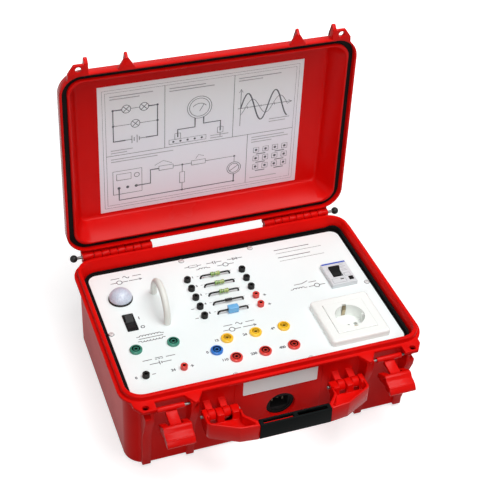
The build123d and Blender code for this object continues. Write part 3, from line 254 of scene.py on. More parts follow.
seal_black = finish("seal_black", (0.008, 0.008, 0.008), (0.005, 0.005, 0.005), depth_mm=0.04,
                    grain_scale=600.0, roughness=0.55, shader=DULL)
GLOSS = {"Coat Weight": 0.3, "Coat Roughness": 0.15}
red_plastic = finish("red_plastic", (0.72, 0.030, 0.016), (0.60, 0.02, 0.01), depth_mm=0.005, roughness=0.3,
                     shader=GLOSS)
green_plastic = finish("green_plastic", (0.015, 0.25, 0.16), (0.008, 0.17, 0.11), depth_mm=0.005,
                       roughness=0.3, shader=GLOSS)
yellow_plastic = finish("yellow_plastic", (0.95, 0.58, 0.02), (0.90, 0.48, 0.01), depth_mm=0.005,
                        roughness=0.3, shader=GLOSS)
blue_plastic = finish("blue_plastic", (0.004, 0.16, 0.58), (0.003, 0.11, 0.45), depth_mm=0.005,
                      roughness=0.3, shader=GLOSS)
white_plastic = finish("white_plastic", (0.90, 0.93, 0.90), (0.87, 0.90, 0.87), depth_mm=0.006,
                       roughness=0.25, shader=GLOSS)
loop_white = finish("loop_white", (0.78, 0.80, 0.75), (0.74, 0.76, 0.71), depth_mm=0.01, roughness=0.4)
device_grey = finish("device_grey", (0.68, 0.70, 0.72), (0.64, 0.66, 0.68), depth_mm=0.01, roughness=0.35)
# The label's grey leans to pink: painted light, for the red light that the case round it throws on it.
label_grey = finish("label_grey", (0.92, 0.88, 0.87), (0.88, 0.84, 0.83), depth_mm=0.01, roughness=0.35)
paper_white_painted_light = finish("paper_white_painted_light", (0.97, 1.0, 1.0), (0.95, 0.98, 1.0), depth_mm=0.01,
                     grain_scale=400.0, drift_scale=5.0, roughness=0.4)
steel = finish("steel", (0.62, 0.61, 0.59), (0.42, 0.41, 0.40), group=drawn, depth_mm=0.005,
               roughness=0.22, shader={"Metallic": 1.0})
screw_zinc = finish("screw_zinc", (0.72, 0.72, 0.71), (0.60, 0.60, 0.60), group=drawn, depth_mm=0.005,
                    roughness=0.4, shader={"Metallic": 0.5})
pin_steel = finish("pin_steel", (0.24, 0.23, 0.22), (0.14, 0.13, 0.13), group=drawn, depth_mm=0.005,
                   roughness=0.4, shader={"Metallic": 1.0})
# The plating's dark tone is painted shade: the sleeves and the inlet's pins sit deep in holes, so they get
# a darker tone than bright plating has.
plated = finish("plated", (0.15, 0.12, 0.09), (0.09, 0.08, 0.06), group=drawn, depth_mm=0.003,
                roughness=0.4, shader={"Metallic": 1.0})
brass = finish("brass", (0.62, 0.52, 0.34), (0.16, 0.13, 0.09), group=drawn, depth_mm=0.01,
               line_scale=700.0, roughness=0.25, shader={"Metallic": 1.0})
switch_black = finish("switch_black", (0.012, 0.012, 0.012), (0.008, 0.008, 0.008), depth_mm=0.02,
                      roughness=0.6, shader=DULL)
# A flat black for the insides of holes and rings: painted shade, standing for the shade deep in them.
hole_shade_black = finish("hole_shade_black", (0.006, 0.006, 0.006), (0.004, 0.004, 0.004), roughness=0.8, shader=DULL)
button_black = finish("button_black", (0.014, 0.014, 0.014), (0.010, 0.010, 0.010), depth_mm=0.01,
                      roughness=0.35, shader={"Specular IOR Level": 0.14})
core_steel = finish("core_steel", (0.22, 0.22, 0.24), (0.13, 0.13, 0.14), group=drawn, depth_mm=0.02,
                    roughness=0.4, shader={"Metallic": 1.0})
winding_tape = finish("winding_tape", (0.62, 0.42, 0.10), (0.5, 0.33, 0.07), roughness=0.35)
board_green = finish("board_green", (0.02, 0.17, 0.06), (0.01, 0.12, 0.04), roughness=0.3)
resistor_green = finish("resistor_green", (0.26, 0.47, 0.11), (0.20, 0.38, 0.08), depth_mm=0.01,
                        roughness=0.3, shader=GLOSS)
capacitor_blue = finish("capacitor_blue", (0.16, 0.47, 0.80), (0.12, 0.40, 0.72), depth_mm=0.01,
                        roughness=0.25, shader=GLOSS)
marking_blue = finish("marking_blue", (0.02, 0.08, 0.50), (0.02, 0.06, 0.42), roughness=0.3)
print(len(bpy.data.materials), "materials")

# %% [markdown]
# The lamp's cap is frosted plastic: it scatters light inside. Subsurface scattering gives that without
# the noise of real transmission, and a pattern of small cells stands for the facets moulded inside it.

# %% The lamp's cap
lens_frost = finish("lens_frost", (0.64, 0.70, 0.80), (0.50, 0.55, 0.66), depth_mm=0.35,
                    drift_scale=700.0, roughness=0.3,
                    shader={"Subsurface Weight": 0.3, "Subsurface Scale": 0.002,
                            "Subsurface Radius": (1.0, 1.0, 1.0), "Coat Weight": 0.4,
                            "Coat Roughness": 0.08})
FACETS_PER_METRE = 420.0
lens_tree = lens_frost.node_tree
facets = add_node(lens_tree, "ShaderNodeTexVoronoi", Scale=FACETS_PER_METRE)
where = add_node(lens_tree, "ShaderNodeTexCoord")
lens_bump = next(node for node in lens_tree.nodes if node.bl_idname == "ShaderNodeBump")
lens_tree.links.new(where.outputs["Object"], facets.inputs["Vector"])
lens_tree.links.new(facets.outputs["Distance"], lens_bump.inputs["Height"])
print("the lens has facets about", round(1 / (FACETS_PER_METRE * MM), 1), "mm wide")

# %% [markdown]
# Some finishes change across a piece. The sheet is white at the top and takes a pink tint lower down; this
# ramp is painted light and shade, a brighter top and the pink light that the red walls round it throw lower
# down. A resistor wears rings of paint that give its value. Both are a ramp of colours along one axis, so
# one helper lays a ramp over any finish.

# %% Colours that run along an axis
def run_colours(material, axis, low, high, stops, smooth=True):
    """Lays a ramp of colours over a finish, from low to high along an axis, both in metres."""
    tree = material.node_tree
    where = add_node(tree, "ShaderNodeTexCoord")
    parts = add_node(tree, "ShaderNodeSeparateXYZ")
    ramp = add_node(tree, "ShaderNodeValToRGB")
    ramp.color_ramp.interpolation = "EASE" if smooth else "CONSTANT"
    while len(ramp.color_ramp.elements) < len(stops):
        ramp.color_ramp.elements.new(0.5)
    for element, (place_at, colour) in zip(ramp.color_ramp.elements, stops):
        element.position = place_at
        element.color = (*colour, 1)
    mix = add_node(tree, "ShaderNodeMix", data_type="RGBA", blend_type="MULTIPLY")
    mix.inputs["Factor"].default_value = 1.0
    surface = next(node for node in tree.nodes if node.bl_idname == "ShaderNodeGroup")
    tree.links.new(where.outputs["Object"], parts.inputs["Vector"])
    tree.links.new(add_range(tree, parts.outputs[axis], low, high), ramp.inputs["Fac"])
    tree.links.new(surface.outputs["Color"], mix.inputs["A"])
    tree.links.new(ramp.outputs["Color"], mix.inputs["B"])
    tree.links.new(mix.outputs["Result"], tree.nodes["Principled BSDF"].inputs["Base Color"])


sheet_low, sheet_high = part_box("instruction_sheet")
# Painted light and shade: the ramp makes the sheet brighter at the top and tints it pink lower down, for
# the light that the red walls throw on it.
run_colours(paper_white_painted_light, "Z", sheet_low.z, sheet_high.z,
            ((0.0, (0.86, 0.79, 0.86)), (0.45, (0.93, 0.91, 0.97)), (1.0, (1.0, 1.0, 1.0))))
print("the sheet blushes over", round(sheet_high.z - sheet_low.z, 3), "m")

# %% Painted rings on the resistors
PLAIN, BROWN, DARK, GOLD = (1.0, 1.0, 1.0), (0.5, 0.16, 0.1), (0.1, 0.06, 0.1), (1.9, 0.8, 1.2)
resistor_low, resistor_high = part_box("resistors")
ring_stops = [(0.0, PLAIN)]
for start, end, colour in ((0.16, 0.24, BROWN), (0.36, 0.44, DARK), (0.56, 0.64, GOLD), (0.78, 0.87, GOLD)):
    ring_stops += [(start, colour), (end, PLAIN)]
run_colours(resistor_green, "X", resistor_low.x, resistor_high.x, ring_stops, smooth=False)
print("a resistor is", round((resistor_high.x - resistor_low.x) / MM, 1), "mm long")

# %% [markdown]
# ## Dressing the CAD nodes
#
# Each node's mesh keeps its shape and takes a material. A table from finish to node names is easier to
# check than a long run of assignments.

# %% Give each CAD node its finish
dressed = {
    case_red: ["base_shell"],
    lid_red: ["lid_shell"],
    handle_red: ["handle_frame", "latch_link_left", "latch_link_right", "latch_lever_left",
                 "latch_lever_right"],
    panel_white: ["front_panel"],
    edge_black: ["panel_edge_strip"],
    black_plastic: ["black_jacks", "component_leads", "diode", "lamp_bezel", "hinge_knob_left",
                     "hinge_knob_right", "board_parts", "inner_leads"],
    switch_black: ["rocker_frame", "rcd_toggle", "rcd_test_button", "inlet_body"],
    button_black: ["rocker_button"],
    grip_black: ["handle_grip"],
    seal_black: ["lid_seal"],
    red_plastic: ["red_jacks", "red_sockets"],
    green_plastic: ["green_sockets"],
    yellow_plastic: ["yellow_sockets"],
    blue_plastic: ["blue_socket"],
    white_plastic: ["outlet_frame", "outlet_insert", "socket_nuts"],
    loop_white: ["current_loop"],
    device_grey: ["rcd_body", "outlet_terminals"],
    label_grey: ["label_plate"],
    paper_white_painted_light: ["instruction_sheet"],
    screw_zinc: ["panel_screws"],
    steel: ["mounting_rail", "inner_supports", "transformer_bracket"],
    pin_steel: ["latch_pins", "handle_pins", "hinge_pin_left", "hinge_pin_right",
                "lever_pin_left", "lever_pin_right"],
    brass: ["earth_clips"],
    plated: ["jack_sleeves", "socket_sleeves", "inlet_pins"],
    core_steel: ["transformer_core"],
    winding_tape: ["transformer_winding"],
    board_green: ["circuit_board"],
    resistor_green: ["resistors"],
    capacitor_blue: ["capacitor"],
    marking_blue: ["rcd_marking_strip"],
    lens_frost: ["lamp_lens"],
}
finish_of = {node: material for material, nodes in dressed.items() for node in nodes}
for node, piece in frame["nodes"].items():
    piece.data.materials.clear()
    piece.data.materials.append(finish_of[node])
print(len(finish_of), "nodes dressed")


# %% [markdown]
# ## Softening the moulded edges
#
# A moulded shell never has a knife edge, and the thin highlights along its edges are what make plastic
# look like plastic. A CAD node can't be changed, so a copy of its mesh is merged, its flat faces are
# joined again, and its sharp edges are bevelled. Where many edges meet, a bevel can throw a corner far
# out, so any that strays from the old surface is put back on it. The copy then stands in for the node.

# %% Helpers for new pieces
WELD = 1e-6
BODY_OF = {node: body for body, nodes in frame["record"]["behaviour"]["bodies"].items() for node in nodes}


def link_piece(name, mesh, material, body):
    """A new object at the origin, with its finish and slot, that rides on a body."""
    piece = bpy.data.objects.new(name, mesh)
    bpy.context.scene.collection.objects.link(piece)
    mesh.materials.clear()
    mesh.materials.append(material)
    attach(piece, body)
    return piece


def merged_copy(node):
    """A bmesh of a CAD node with its loose triangles joined."""
    shape = bmesh.new()
    shape.from_mesh(frame["nodes"][node].data)
    bmesh.ops.remove_doubles(shape, verts=shape.verts, dist=WELD)
    return shape


def smooth(shape, crease_deg):
    """Smooth shading all over, except at edges sharper than this."""
    for face in shape.faces:
        face.smooth = True
    for edge in shape.edges:
        edge.smooth = len(edge.link_faces) == 2 and edge.calc_face_angle(0.0) < math.radians(crease_deg)


def baked(name, shape):
    """The mesh of a finished bmesh, which is then freed."""
    mesh = bpy.data.meshes.new(name)
    shape.to_mesh(mesh)
    shape.free()
    return mesh


# %% A function that softens a node
FLAT_DEG, SHARP_DEG, CREASE_DEG = 0.6, 32.0, 25.0


def soften(node, width_mm):
    """A copy of a CAD node with rounded edges, shown in its place."""
    shape = merged_copy(node)
    bmesh.ops.dissolve_limit(shape, angle_limit=math.radians(FLAT_DEG), verts=shape.verts,
                             edges=shape.edges)
    sharp = [
        edge for edge in shape.edges
        if len(edge.link_faces) == 2 and edge.calc_face_angle(0.0) > math.radians(SHARP_DEG)
    ]
    before = BVHTree.FromBMesh(shape)
    bmesh.ops.bevel(shape, geom=sharp, offset=width_mm * MM, offset_type="OFFSET", segments=2,
                    profile=0.5, affect="EDGES", clamp_overlap=False, material=-1)
    strays = 0
    for vertex in shape.verts:
        nearest, _, _, gap = before.find_nearest(vertex.co)
        if gap > width_mm * MM:
            vertex.co = nearest
            strays += 1
    bmesh.ops.triangulate(shape, faces=shape.faces)
    smooth(shape, CREASE_DEG)
    mesh = baked(f"{node}_soft", shape)
    piece = link_piece(f"{node}_soft", mesh, finish_of[node], BODY_OF[node])
    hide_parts(node)
    print(node, "softened,", len(mesh.polygons), "triangles,", strays, "strays put back")


# %% Soften the shells, the handle and the latches
widths_mm = {"base_shell": 0.8, "lid_shell": 0.8, "handle_frame": 1.5, "handle_grip": 1.2,
             "latch_link_left": 0.7, "latch_lever_left": 0.9, "latch_link_right": 0.7,
             "latch_lever_right": 0.9}
for node, width_mm in widths_mm.items():
    soften(node, width_mm)

# %% [markdown]
# A low thumb ridge runs across each lever near its lip, for a finger to catch on. It could be cut from the
# lever's own mesh, but a thin rod sunk most of the way into the lever looks the same and is simpler. Its
# ends are rounded, and it turns with the lever.

# %% Add the thumb ridges
RIDGE_R, RIDGE_Y, RIDGE_Z = 1.4, -184.3, 92.2
RIDGE_INSET, RIDGE_ROUND = 0.5, 0.5
ROUND_STEPS = 24
for side in ("left", "right"):
    lever = f"latch_lever_{side}"
    lever_low, lever_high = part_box(lever)
    length = lever_high.x - lever_low.x - 2 * RIDGE_INSET * MM
    rod = bmesh.new()
    bmesh.ops.create_cone(rod, cap_ends=True, segments=ROUND_STEPS, radius1=RIDGE_R * MM,
                          radius2=RIDGE_R * MM, depth=length)
    rims = [edge for edge in rod.edges if abs(edge.verts[0].co.z - edge.verts[1].co.z) < WELD]
    bmesh.ops.bevel(rod, geom=rims, offset=RIDGE_ROUND * MM, offset_type="OFFSET", segments=2,
                    profile=0.5, affect="EDGES", material=-1)
    spot = Vector(((lever_low.x + lever_high.x) / 2, RIDGE_Y * MM, RIDGE_Z * MM))
    rod.transform(Matrix.Translation(spot) @ Matrix.Rotation(math.radians(90), 4, "Y"))
    for face in rod.faces:
        face.smooth = True
    link_piece(f"lever_ridge_{side}", baked(f"lever_ridge_{side}", rod), handle_red, BODY_OF[lever])
    print("a ridge", round(length / MM, 1), "mm long on the", side, "lever")

# %% [markdown]
# ## The black strip at the panel's edge
#
# A soft black strip closes the gap round the panel. It lies low on three sides and stands up against the
# right-hand wall: that tall black part is painted shade, a broad dark line for the shade low on that wall.
# A sweep along a curve would keep one height, so four loops are drawn round the wall instead, at the
# strip's four corners, and bridged into a closed ring. Only the height of the upper two changes on the way.

# %% Walk round the wall
WALL_HALF_X, WALL_HALF_Y, CORNER_R = 0.1852, 0.1242, 0.0172
CORNER_STEPS = 8
wall_path = []
for quarter, (side_x, side_y) in enumerate(((1, 1), (-1, 1), (-1, -1), (1, -1))):
    for step in range(CORNER_STEPS + 1):
        turn = math.radians(90 * quarter + 90 * step / CORNER_STEPS)
        across = Vector((math.cos(turn), math.sin(turn), 0))
        corner = Vector((side_x * (WALL_HALF_X - CORNER_R), side_y * (WALL_HALF_Y - CORNER_R), 0))
        wall_path.append((corner + across * CORNER_R, across))
print("the path has", len(wall_path), "stations")

# %% Build the strip
# The tall black part at the right-hand wall is painted shade, a dark sheet where that wall lies in shade.
LOW_MM, SHADE_TALL_MM, STRIP_MM, FOOT_MM, SLOPE_MM = 0.8, 7.5, 1.4, 2.5, 0.3
CLIMB_FROM_X, CLIMB_OVER = 0.160, 0.022
PANEL_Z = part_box("front_panel")[1].z


def strip_top(x):
    """The height of the strip's outer top edge, which eases up towards the right-hand wall, where the tall
    black is painted shade.
    """
    climb = min(max((x - CLIMB_FROM_X) / CLIMB_OVER, 0.0), 1.0)
    return PANEL_Z + (LOW_MM + (SHADE_TALL_MM - LOW_MM) * climb * climb * (3 - 2 * climb)) * MM


corner_loops = [[], [], [], []]
for spot, across in wall_path:
    inner = spot - across * STRIP_MM * MM
    foot, top = PANEL_Z - FOOT_MM * MM, strip_top(spot.x)
    section = ((spot, foot), (spot, top), (inner, top - SLOPE_MM * MM), (inner, foot))
    for loop, (point, height) in zip(corner_loops, section):
        loop.append((point.x, point.y, height))
strip = bmesh.new()
rings = []
for loop in corner_loops:
    ring_verts = [strip.verts.new(point) for point in loop]
    rings.append([strip.edges.new(pair) for pair in zip(ring_verts, ring_verts[1:] + ring_verts[:1])])
for here, ahead in zip(rings, rings[1:] + rings[:1]):
    bmesh.ops.bridge_loops(strip, edges=here + ahead)
bmesh.ops.recalc_face_normals(strip, faces=strip.faces)
link_piece("edge_strip_shade", baked("edge_strip_shade", strip), edge_black, "case")
print("the strip stands", SHADE_TALL_MM, "mm above the panel at the right")

# %% [markdown]
# ## Caps on the jacks
#
# Each small jack has a turned cap with two grooves and a hole, lined with black as painted shade for the
# dark inside of the hole. The CAD has a plain cylinder, so a cap is spun over each one: a profile is drawn
# once, carried to the jack and turned about its axis. The jacks of one colour are one node, so we first
# find the separate solids in it.

# %% Find the separate solids of a node
def islands(node):
    """The low and high corners of each separate solid of a CAD node, from left to right."""
    shape = merged_copy(node)
    waiting = set(shape.verts)
    found = []
    while waiting:
        stack = [waiting.pop()]
        corners = []
        while stack:
            vertex = stack.pop()
            corners.append(vertex.co.copy())
            near = {edge.other_vert(vertex) for edge in vertex.link_edges} & waiting
            waiting -= near
            stack.extend(near)
        found.append((Vector(map(min, zip(*corners))), Vector(map(max, zip(*corners)))))
    shape.free()
    return sorted(found, key=lambda ends: tuple(ends[0]))


# %% Outlines of the caps and their holes
CAP_R, HOLE_R = 4.6, 1.95
GROOVE_MM, HOLE_DEPTH = 0.5, 9.0
GROOVES_AT, GROOVE_SPREAD = (0.36, 0.68), 0.06


def cap_outline(top):
    """Up the grooved side, over the rounded rim and into the hole."""
    side = [(CAP_R, 0)]
    for share in GROOVES_AT:
        side += [(CAP_R, (share - GROOVE_SPREAD) * top), (CAP_R - GROOVE_MM, share * top),
                 (CAP_R, (share + GROOVE_SPREAD) * top)]
    return [*side, (CAP_R, top - 0.7 * MM), (CAP_R - 0.7, top + 0.1 * MM),
            (HOLE_R + 0.5, top + 0.1 * MM), (HOLE_R, top - 0.5 * MM)]


def liner_outline(top):
    """Straight down the hole, as a black liner of painted shade."""
    return [(HOLE_R, top - 0.5 * MM), (HOLE_R, top - HOLE_DEPTH * MM)]


# %% Spin the caps
SPUN_WELD, SPUN_CREASE_DEG = 1e-7, 40.0


def spun(name, nodes, material, outline, inward=False):
    """An outline, radii in millimetres and heights in metres, turned about every socket of some nodes."""
    shape = bmesh.new()
    for low, high in [ends for node in nodes for ends in islands(node)]:
        profile = outline(high.z - PANEL_Z)
        middle = Vector(((low.x + high.x) / 2, (low.y + high.y) / 2, PANEL_Z))
        rim = [shape.verts.new(middle + Vector((radius * MM, 0, height))) for radius, height in profile]
        edges = [shape.edges.new(pair) for pair in zip(rim, rim[1:])]
        bmesh.ops.spin(shape, geom=rim + edges, cent=middle, axis=(0, 0, 1), angle=math.tau,
                       steps=ROUND_STEPS, use_merge=True, use_normal_flip=False, dvec=(0, 0, 0))
    bmesh.ops.remove_doubles(shape, verts=shape.verts, dist=SPUN_WELD)
    bmesh.ops.recalc_face_normals(shape, faces=shape.faces)
    if inward:
        bmesh.ops.reverse_faces(shape, faces=shape.faces)
    smooth(shape, SPUN_CREASE_DEG)
    mesh = baked(name, shape)
    link_piece(name, mesh, material, "case")
    print(name, len(mesh.polygons), "faces")


for colour, material in (("black", black_plastic), ("red", red_plastic)):
    spun(f"{colour}_jack_caps", [f"{colour}_jacks"], material, cap_outline)
# The black liners down the jacks' holes are painted shade.
spun("jack_hole_shade", ["black_jacks", "red_jacks"], hole_shade_black, liner_outline, inward=True)

# %% [markdown]
# The safety sockets need the same care. Their shroud is a deep ring that looks black from above, with a
# coloured collar standing in it round the bore. The CAD's ring is right but thin, so a collar is spun over
# the sleeve. A black lining just under the ring's mouth is painted shade, standing for the shade deep in
# the ring, and a black liner down the bore paints the shade there too. The yellow sockets show no dark
# ring, so they have the collar alone.

# %% Outlines of the collars and of the painted shade in the rings
COLLAR_R, SHROUD_R = 3.7, 5.4
RING_SHADE_MM, RING_SHADE_DEPTH = 0.6, 1.2


def collar_outline(top):
    """Up the collar's side, over its rim and into the bore."""
    return [(COLLAR_R, top - 2 * MM), (COLLAR_R, top - 0.3 * MM), (COLLAR_R - 0.3, top),
            (HOLE_R + 0.3, top), (HOLE_R, top - 0.5 * MM)]


def lining_outline(top):
    """Down the shroud's wall and across its floor to the collar, as a black sheet of painted shade."""
    mouth, floor_at, inner_r = top + 0.05 * MM, top - RING_SHADE_DEPTH * MM, SHROUD_R - RING_SHADE_MM
    return [(SHROUD_R, mouth), (inner_r, mouth), (inner_r, floor_at), (COLLAR_R, floor_at)]


# %% Spin the collars and the painted shade in the rings and bores
for node in ("green_sockets", "yellow_sockets", "blue_socket", "red_sockets"):
    spun(node.replace("socket", "collar"), [node], finish_of[node], collar_outline)
# The black linings and liners spun here are painted shade.
RING_SHADE_SOCKETS = ["green_sockets", "blue_socket", "red_sockets"]
spun("socket_ring_shade", RING_SHADE_SOCKETS, hole_shade_black, lining_outline, inward=True)
spun("socket_bore_shade", RING_SHADE_SOCKETS, hole_shade_black, liner_outline, inward=True)

# %% [markdown]
# ## Printing on the panel
#
# The panel is screen printed in dark grey: marks by the switch, signs by the sockets and plain numbers. A
# ring of the same grey round each screw is painted shade, for the dark gap at the edge of the screw's head.
# Ink has almost no thickness, but it needs some to be seen and exported, so each stroke is a bevelled curve
# made into a mesh and pressed flat to a few hundredths of a millimetre. Digits come from text objects in
# the same way. The captions are drawn as the usual circuit symbols.

# %% Strokes and characters as meshes
INK_MM = 0.06
DIGIT_SHARE, BOLD_MM = 0.72, 0.26


def curve_mesh(strokes, width):
    """Round strokes through flat points in millimetres, as one mesh in metres, still as thick as wide."""
    curve = bpy.data.curves.new("stroke", "CURVE")
    curve.dimensions = "3D"
    curve.bevel_depth = width * MM / 2
    curve.bevel_resolution = 1
    curve.use_fill_caps = True
    for points in strokes:
        spline = curve.splines.new("POLY")
        spline.points.add(len(points) - 1)
        for point, (x, y) in zip(spline.points, points):
            point.co = (x * MM, y * MM, 0, 1)
    carrier = bpy.data.objects.new("stroke", curve)
    mesh = bpy.data.meshes.new_from_object(carrier)
    bpy.data.objects.remove(carrier)
    return mesh


def text_mesh(words, height):
    """Plain characters of this height in millimetres, centred, as a thin mesh in metres."""
    text = bpy.data.curves.new("characters", "FONT")
    text.body = words
    text.size = height * MM / DIGIT_SHARE
    text.align_x = "CENTER"
    text.align_y = "CENTER"
    text.extrude = INK_MM * MM / 2
    text.offset = BOLD_MM * MM
    carrier = bpy.data.objects.new("characters", text)
    mesh = bpy.data.meshes.new_from_object(carrier)
    bpy.data.objects.remove(carrier)
    return mesh


def arc(cx, cy, radius, start, end, steps=16):
    """Points on a circle's arc, with the angles in degrees."""
    return [
        (cx + radius * math.cos(math.radians(start + (end - start) * step / steps)),
         cy + radius * math.sin(math.radians(start + (end - start) * step / steps)))
        for step in range(steps + 1)
    ]


# %% Pressing and gathering ink
INK_GAP, PRESSED_SHARE = 0.02 * MM, 0.02
PRESSED = Matrix.Scale(PRESSED_SHARE, 4, (0, 0, 1))
QUARTER_TURN = Matrix.Rotation(math.radians(90), 4, "X")


def press(into, mesh, matrix):
    """Adds a flat mesh to a bmesh, moved by a matrix."""
    mesh.transform(matrix)
    into.from_mesh(mesh)
    bpy.data.meshes.remove(mesh)


def draw_on(into, plane, strokes, x=0.0, y=0.0, width=1.0):
    """Strokes drawn round their own origin and pressed on a plane, with x and y in millimetres."""
    placed = [[(x + u, y + v) for u, v in points] for points in strokes]
    press(into, curve_mesh(placed, width), plane @ PRESSED)


def plane_above(low, high):
    """The plane just above the top of a box, from its two corners."""
    return Matrix.Translation(((low.x + high.x) / 2, (low.y + high.y) / 2, high.z + INK_GAP))


def plane_before(low, high):
    """The upright plane just in front of a box, with its y up and its z towards the reader."""
    middle = ((low.x + high.x) / 2, low.y - INK_GAP, (low.z + high.z) / 2)
    return Matrix.Translation(middle) @ QUARTER_TURN


def ink_piece(name, shape, material, body):
    """Turns the gathered ink into an object."""
    bmesh.ops.recalc_face_normals(shape, faces=shape.faces)
    mesh = baked(name, shape)
    link_piece(name, mesh, material, body)
    print(name, len(mesh.polygons), "faces")


# %% Signs for the panel
print_and_shade_grey = finish("print_and_shade_grey", (0.10, 0.10, 0.11), (0.08, 0.08, 0.09), depth_mm=0.003, roughness=0.5)
PANEL_PLANE = Matrix.Translation((0, 0, PANEL_Z + INK_GAP))
panel_ink_and_shade = bmesh.new()


def sign(strokes, x, y, width=1.1):
    """Strokes on the panel at x, y in millimetres, in the print's grey; the rings round the screws are
    painted shade.
    """
    draw_on(panel_ink_and_shade, PANEL_PLANE, strokes, x, y, width)


def number(words, x, y, height=4.0):
    """Plain characters on the panel at x, y in millimetres."""
    place_at = Matrix.Translation((x * MM, y * MM, 0))
    press(panel_ink_and_shade, text_mesh(words, height), PANEL_PLANE @ place_at)


def coil(turns, up=1):
    """A coil's row of half rings, with its two leads."""
    first = 2 - 2 * turns
    humps = []
    for turn in range(turns):
        humps += arc(first + 4 * turn, 0, 2, 180, 180 - 180 * up, 8)
    return [(first - 6, 0), *humps, (first + 4 * turns + 2, 0)]


SINE = [[(4.5 * step / 12 - 4.5, 2.2 * math.sin(math.pi * step / 12)) for step in range(25)]]
DIRECT = [[(-5, 1.2), (5, 1.2)], [(-5, -1.2), (-2.4, -1.2)], [(-1.3, -1.2), (1.3, -1.2)],
          [(2.4, -1.2), (5, -1.2)]]
LEADS = [[(-21, 0), (-9, 0)], [(9, 0), (21, 0)]]
ARROW = [[(-9, 0), (9, 0)], [(5.5, 1.8), (9, 0), (5.5, -1.8)]]
RESISTOR = [[(-6, -2), (6, -2), (6, 2), (-6, 2), (-6, -2)], [(-12, 0), (-6, 0)], [(6, 0), (12, 0)]]
CAPACITOR = [[(-11, 0), (-1.4, 0)], [(1.4, 0), (11, 0)], [(-1.4, -3), (-1.4, 3)], [(1.4, -3), (1.4, 3)]]
DIODE = [[(-11, 0), (11, 0)], [(-3, -2.6), (-3, 2.6), (2.4, 0), (-3, -2.6)], [(2.8, -2.6), (2.8, 2.6)]]
CELL = [[(-14, 0), (-1.4, 0)], [(1.4, 0), (14, 0)], [(-1.4, -3.4), (-1.4, 3.4)], [(1.4, -1.8), (1.4, 1.8)]]
SWITCH = [[(-16, 0), (-5, 0), (4.5, 3.6)], [(5, 0), (16, 0)]]
METER = [arc(0, 0, 3.6, 0, 360, 24), [(-12, 0), (-3.6, 0)], [(3.6, 0), (12, 0)]]

# %% Draw the captions
captions = [
    (LEADS, -131, 103), (SINE, -131, 103), (ARROW, -120, 94.5), (METER, -142, 94.5),
    (RESISTOR, -38, 98.5), (CAPACITOR, -8, 98.5), (DIODE, 22, 98.5), ([coil(3)], -26, 90), (METER, 6, 90),
    ([coil(7)], -131, -15), ([[(-16, 0), (16, 0)]], -131, -19), ([coil(7, -1)], -131, -23),
    (LEADS, -132, -58), (DIRECT, -132, -58), (CELL, -132, -66),
    (LEADS, -16, -27), (SINE, -16, -27), (METER, -28, -35.5), (ARROW, -4, -35.5),
    (SWITCH, 96, 22), ([coil(4)], 84, 13.5), (METER, 110, 13.5),
]
for strokes, x, y in captions:
    sign(strokes, x, y)
print(len(captions), "symbols on the panel")

# %% Print the numbers and the switch marks
MINUS = [[(-2.3, 0), (2.3, 0)]]
PLUS = MINUS + [[(0, -2.3), (0, 2.3)]]
DASHES = [[(start, 5.4), (end, 5.4)] for start, end in ((-40, -37), (-35.5, -29), (-4, 2), (3.5, 9))]
ROWS_Y = (71.0, 52.5, 34.0, 15.5, -3.0)
number("I", -136, 19.6, 5.0)
number("O", -135.6, 2.2, 5.0)
for words, x, y in (("12", -53.6, -49.5), ("24", -15.6, -49.5), ("48", 22.6, -49.5), ("110", -54.4, -85.5),
                    ("230", -16.4, -85.5), ("400", 21.8, -85.5), ("0", -71.5, -66.5), ("0", -168, -83.5),
                    ("24", -121, -83.5)):
    number(words, x, y)
for x, y in ((35.3, 15.5), (35.3, -3.5), (-96.5, -83.0)):
    sign(PLUS, x, y)
for x, y in ((-64.5, 15.5), (-64.5, -3.0), (-145.5, -83.0)):
    sign(MINUS, x, y)
for row, y in enumerate(ROWS_Y, start=1):
    number(str(row), -45.5, y + 5.5, 3.4)
    sign(DASHES, 0, y, 0.7)

# %% Print the plain rules, and paint shade rings round the screws
SHADE_RING_GAP = 0.1
for y, length, weight in ((98.5, 52, 1.3), (91, 68, 0.7), (82, 48, 1.3), (74.5, 66, 0.7)):
    sign([[(0, 0), (length, 0)]], 80, y, weight)
# Painted shade: a dark ring round each screw's head stands for the shadow gap round it.
for low, high in islands("panel_screws"):
    middle, radius = (low + high) / 2 / MM, (high.x - low.x) / 2 / MM
    sign([arc(0, 0, radius + SHADE_RING_GAP, 0, 360)], middle.x, middle.y, 0.9)
ink_piece("panel_print_and_shade", panel_ink_and_shade, print_and_shade_grey, "case")

# %% [markdown]
# ## Marks on the breaker and the label's border
#
# The breaker's face has a small window with a dark flag, and a column of fine marks beside the lever.
# The label in front is a clear pocket with a paler welded border. Both are drawn with the same strokes:
# only the plane that they are pressed on differs.

# %% Mark the breaker
def rectangle(x0, y0, x1, y1):
    """A closed outline between two corners."""
    return [(x0, y0), (x1, y0), (x1, y1), (x0, y1), (x0, y0)]


BREAKER_PLANE = plane_above(*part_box("rcd_body"))
breaker_ink = bmesh.new()
pale_marks = [rectangle(-15, -20, 4, -11), rectangle(6, -3, 14, -9)]
for y, shorter in ((17, 0), (14.5, 2), (11, 0), (8.5, 3), (5, 1), (2.5, 0)):
    pale_marks.append([(6, y), (14 - shorter, y)])
draw_on(breaker_ink, BREAKER_PLANE, pale_marks, width=0.7)
ink_soft = finish("ink_soft", (0.36, 0.38, 0.40), (0.30, 0.32, 0.34), depth_mm=0.003, roughness=0.5)
ink_piece("breaker_marks", breaker_ink, ink_soft, "case")
flag_ink = bmesh.new()
draw_on(flag_ink, BREAKER_PLANE, [[(-3, -13.5), (2, -13.5)]], width=1.8)
ink_piece("breaker_flag", flag_ink, switch_black, "case")

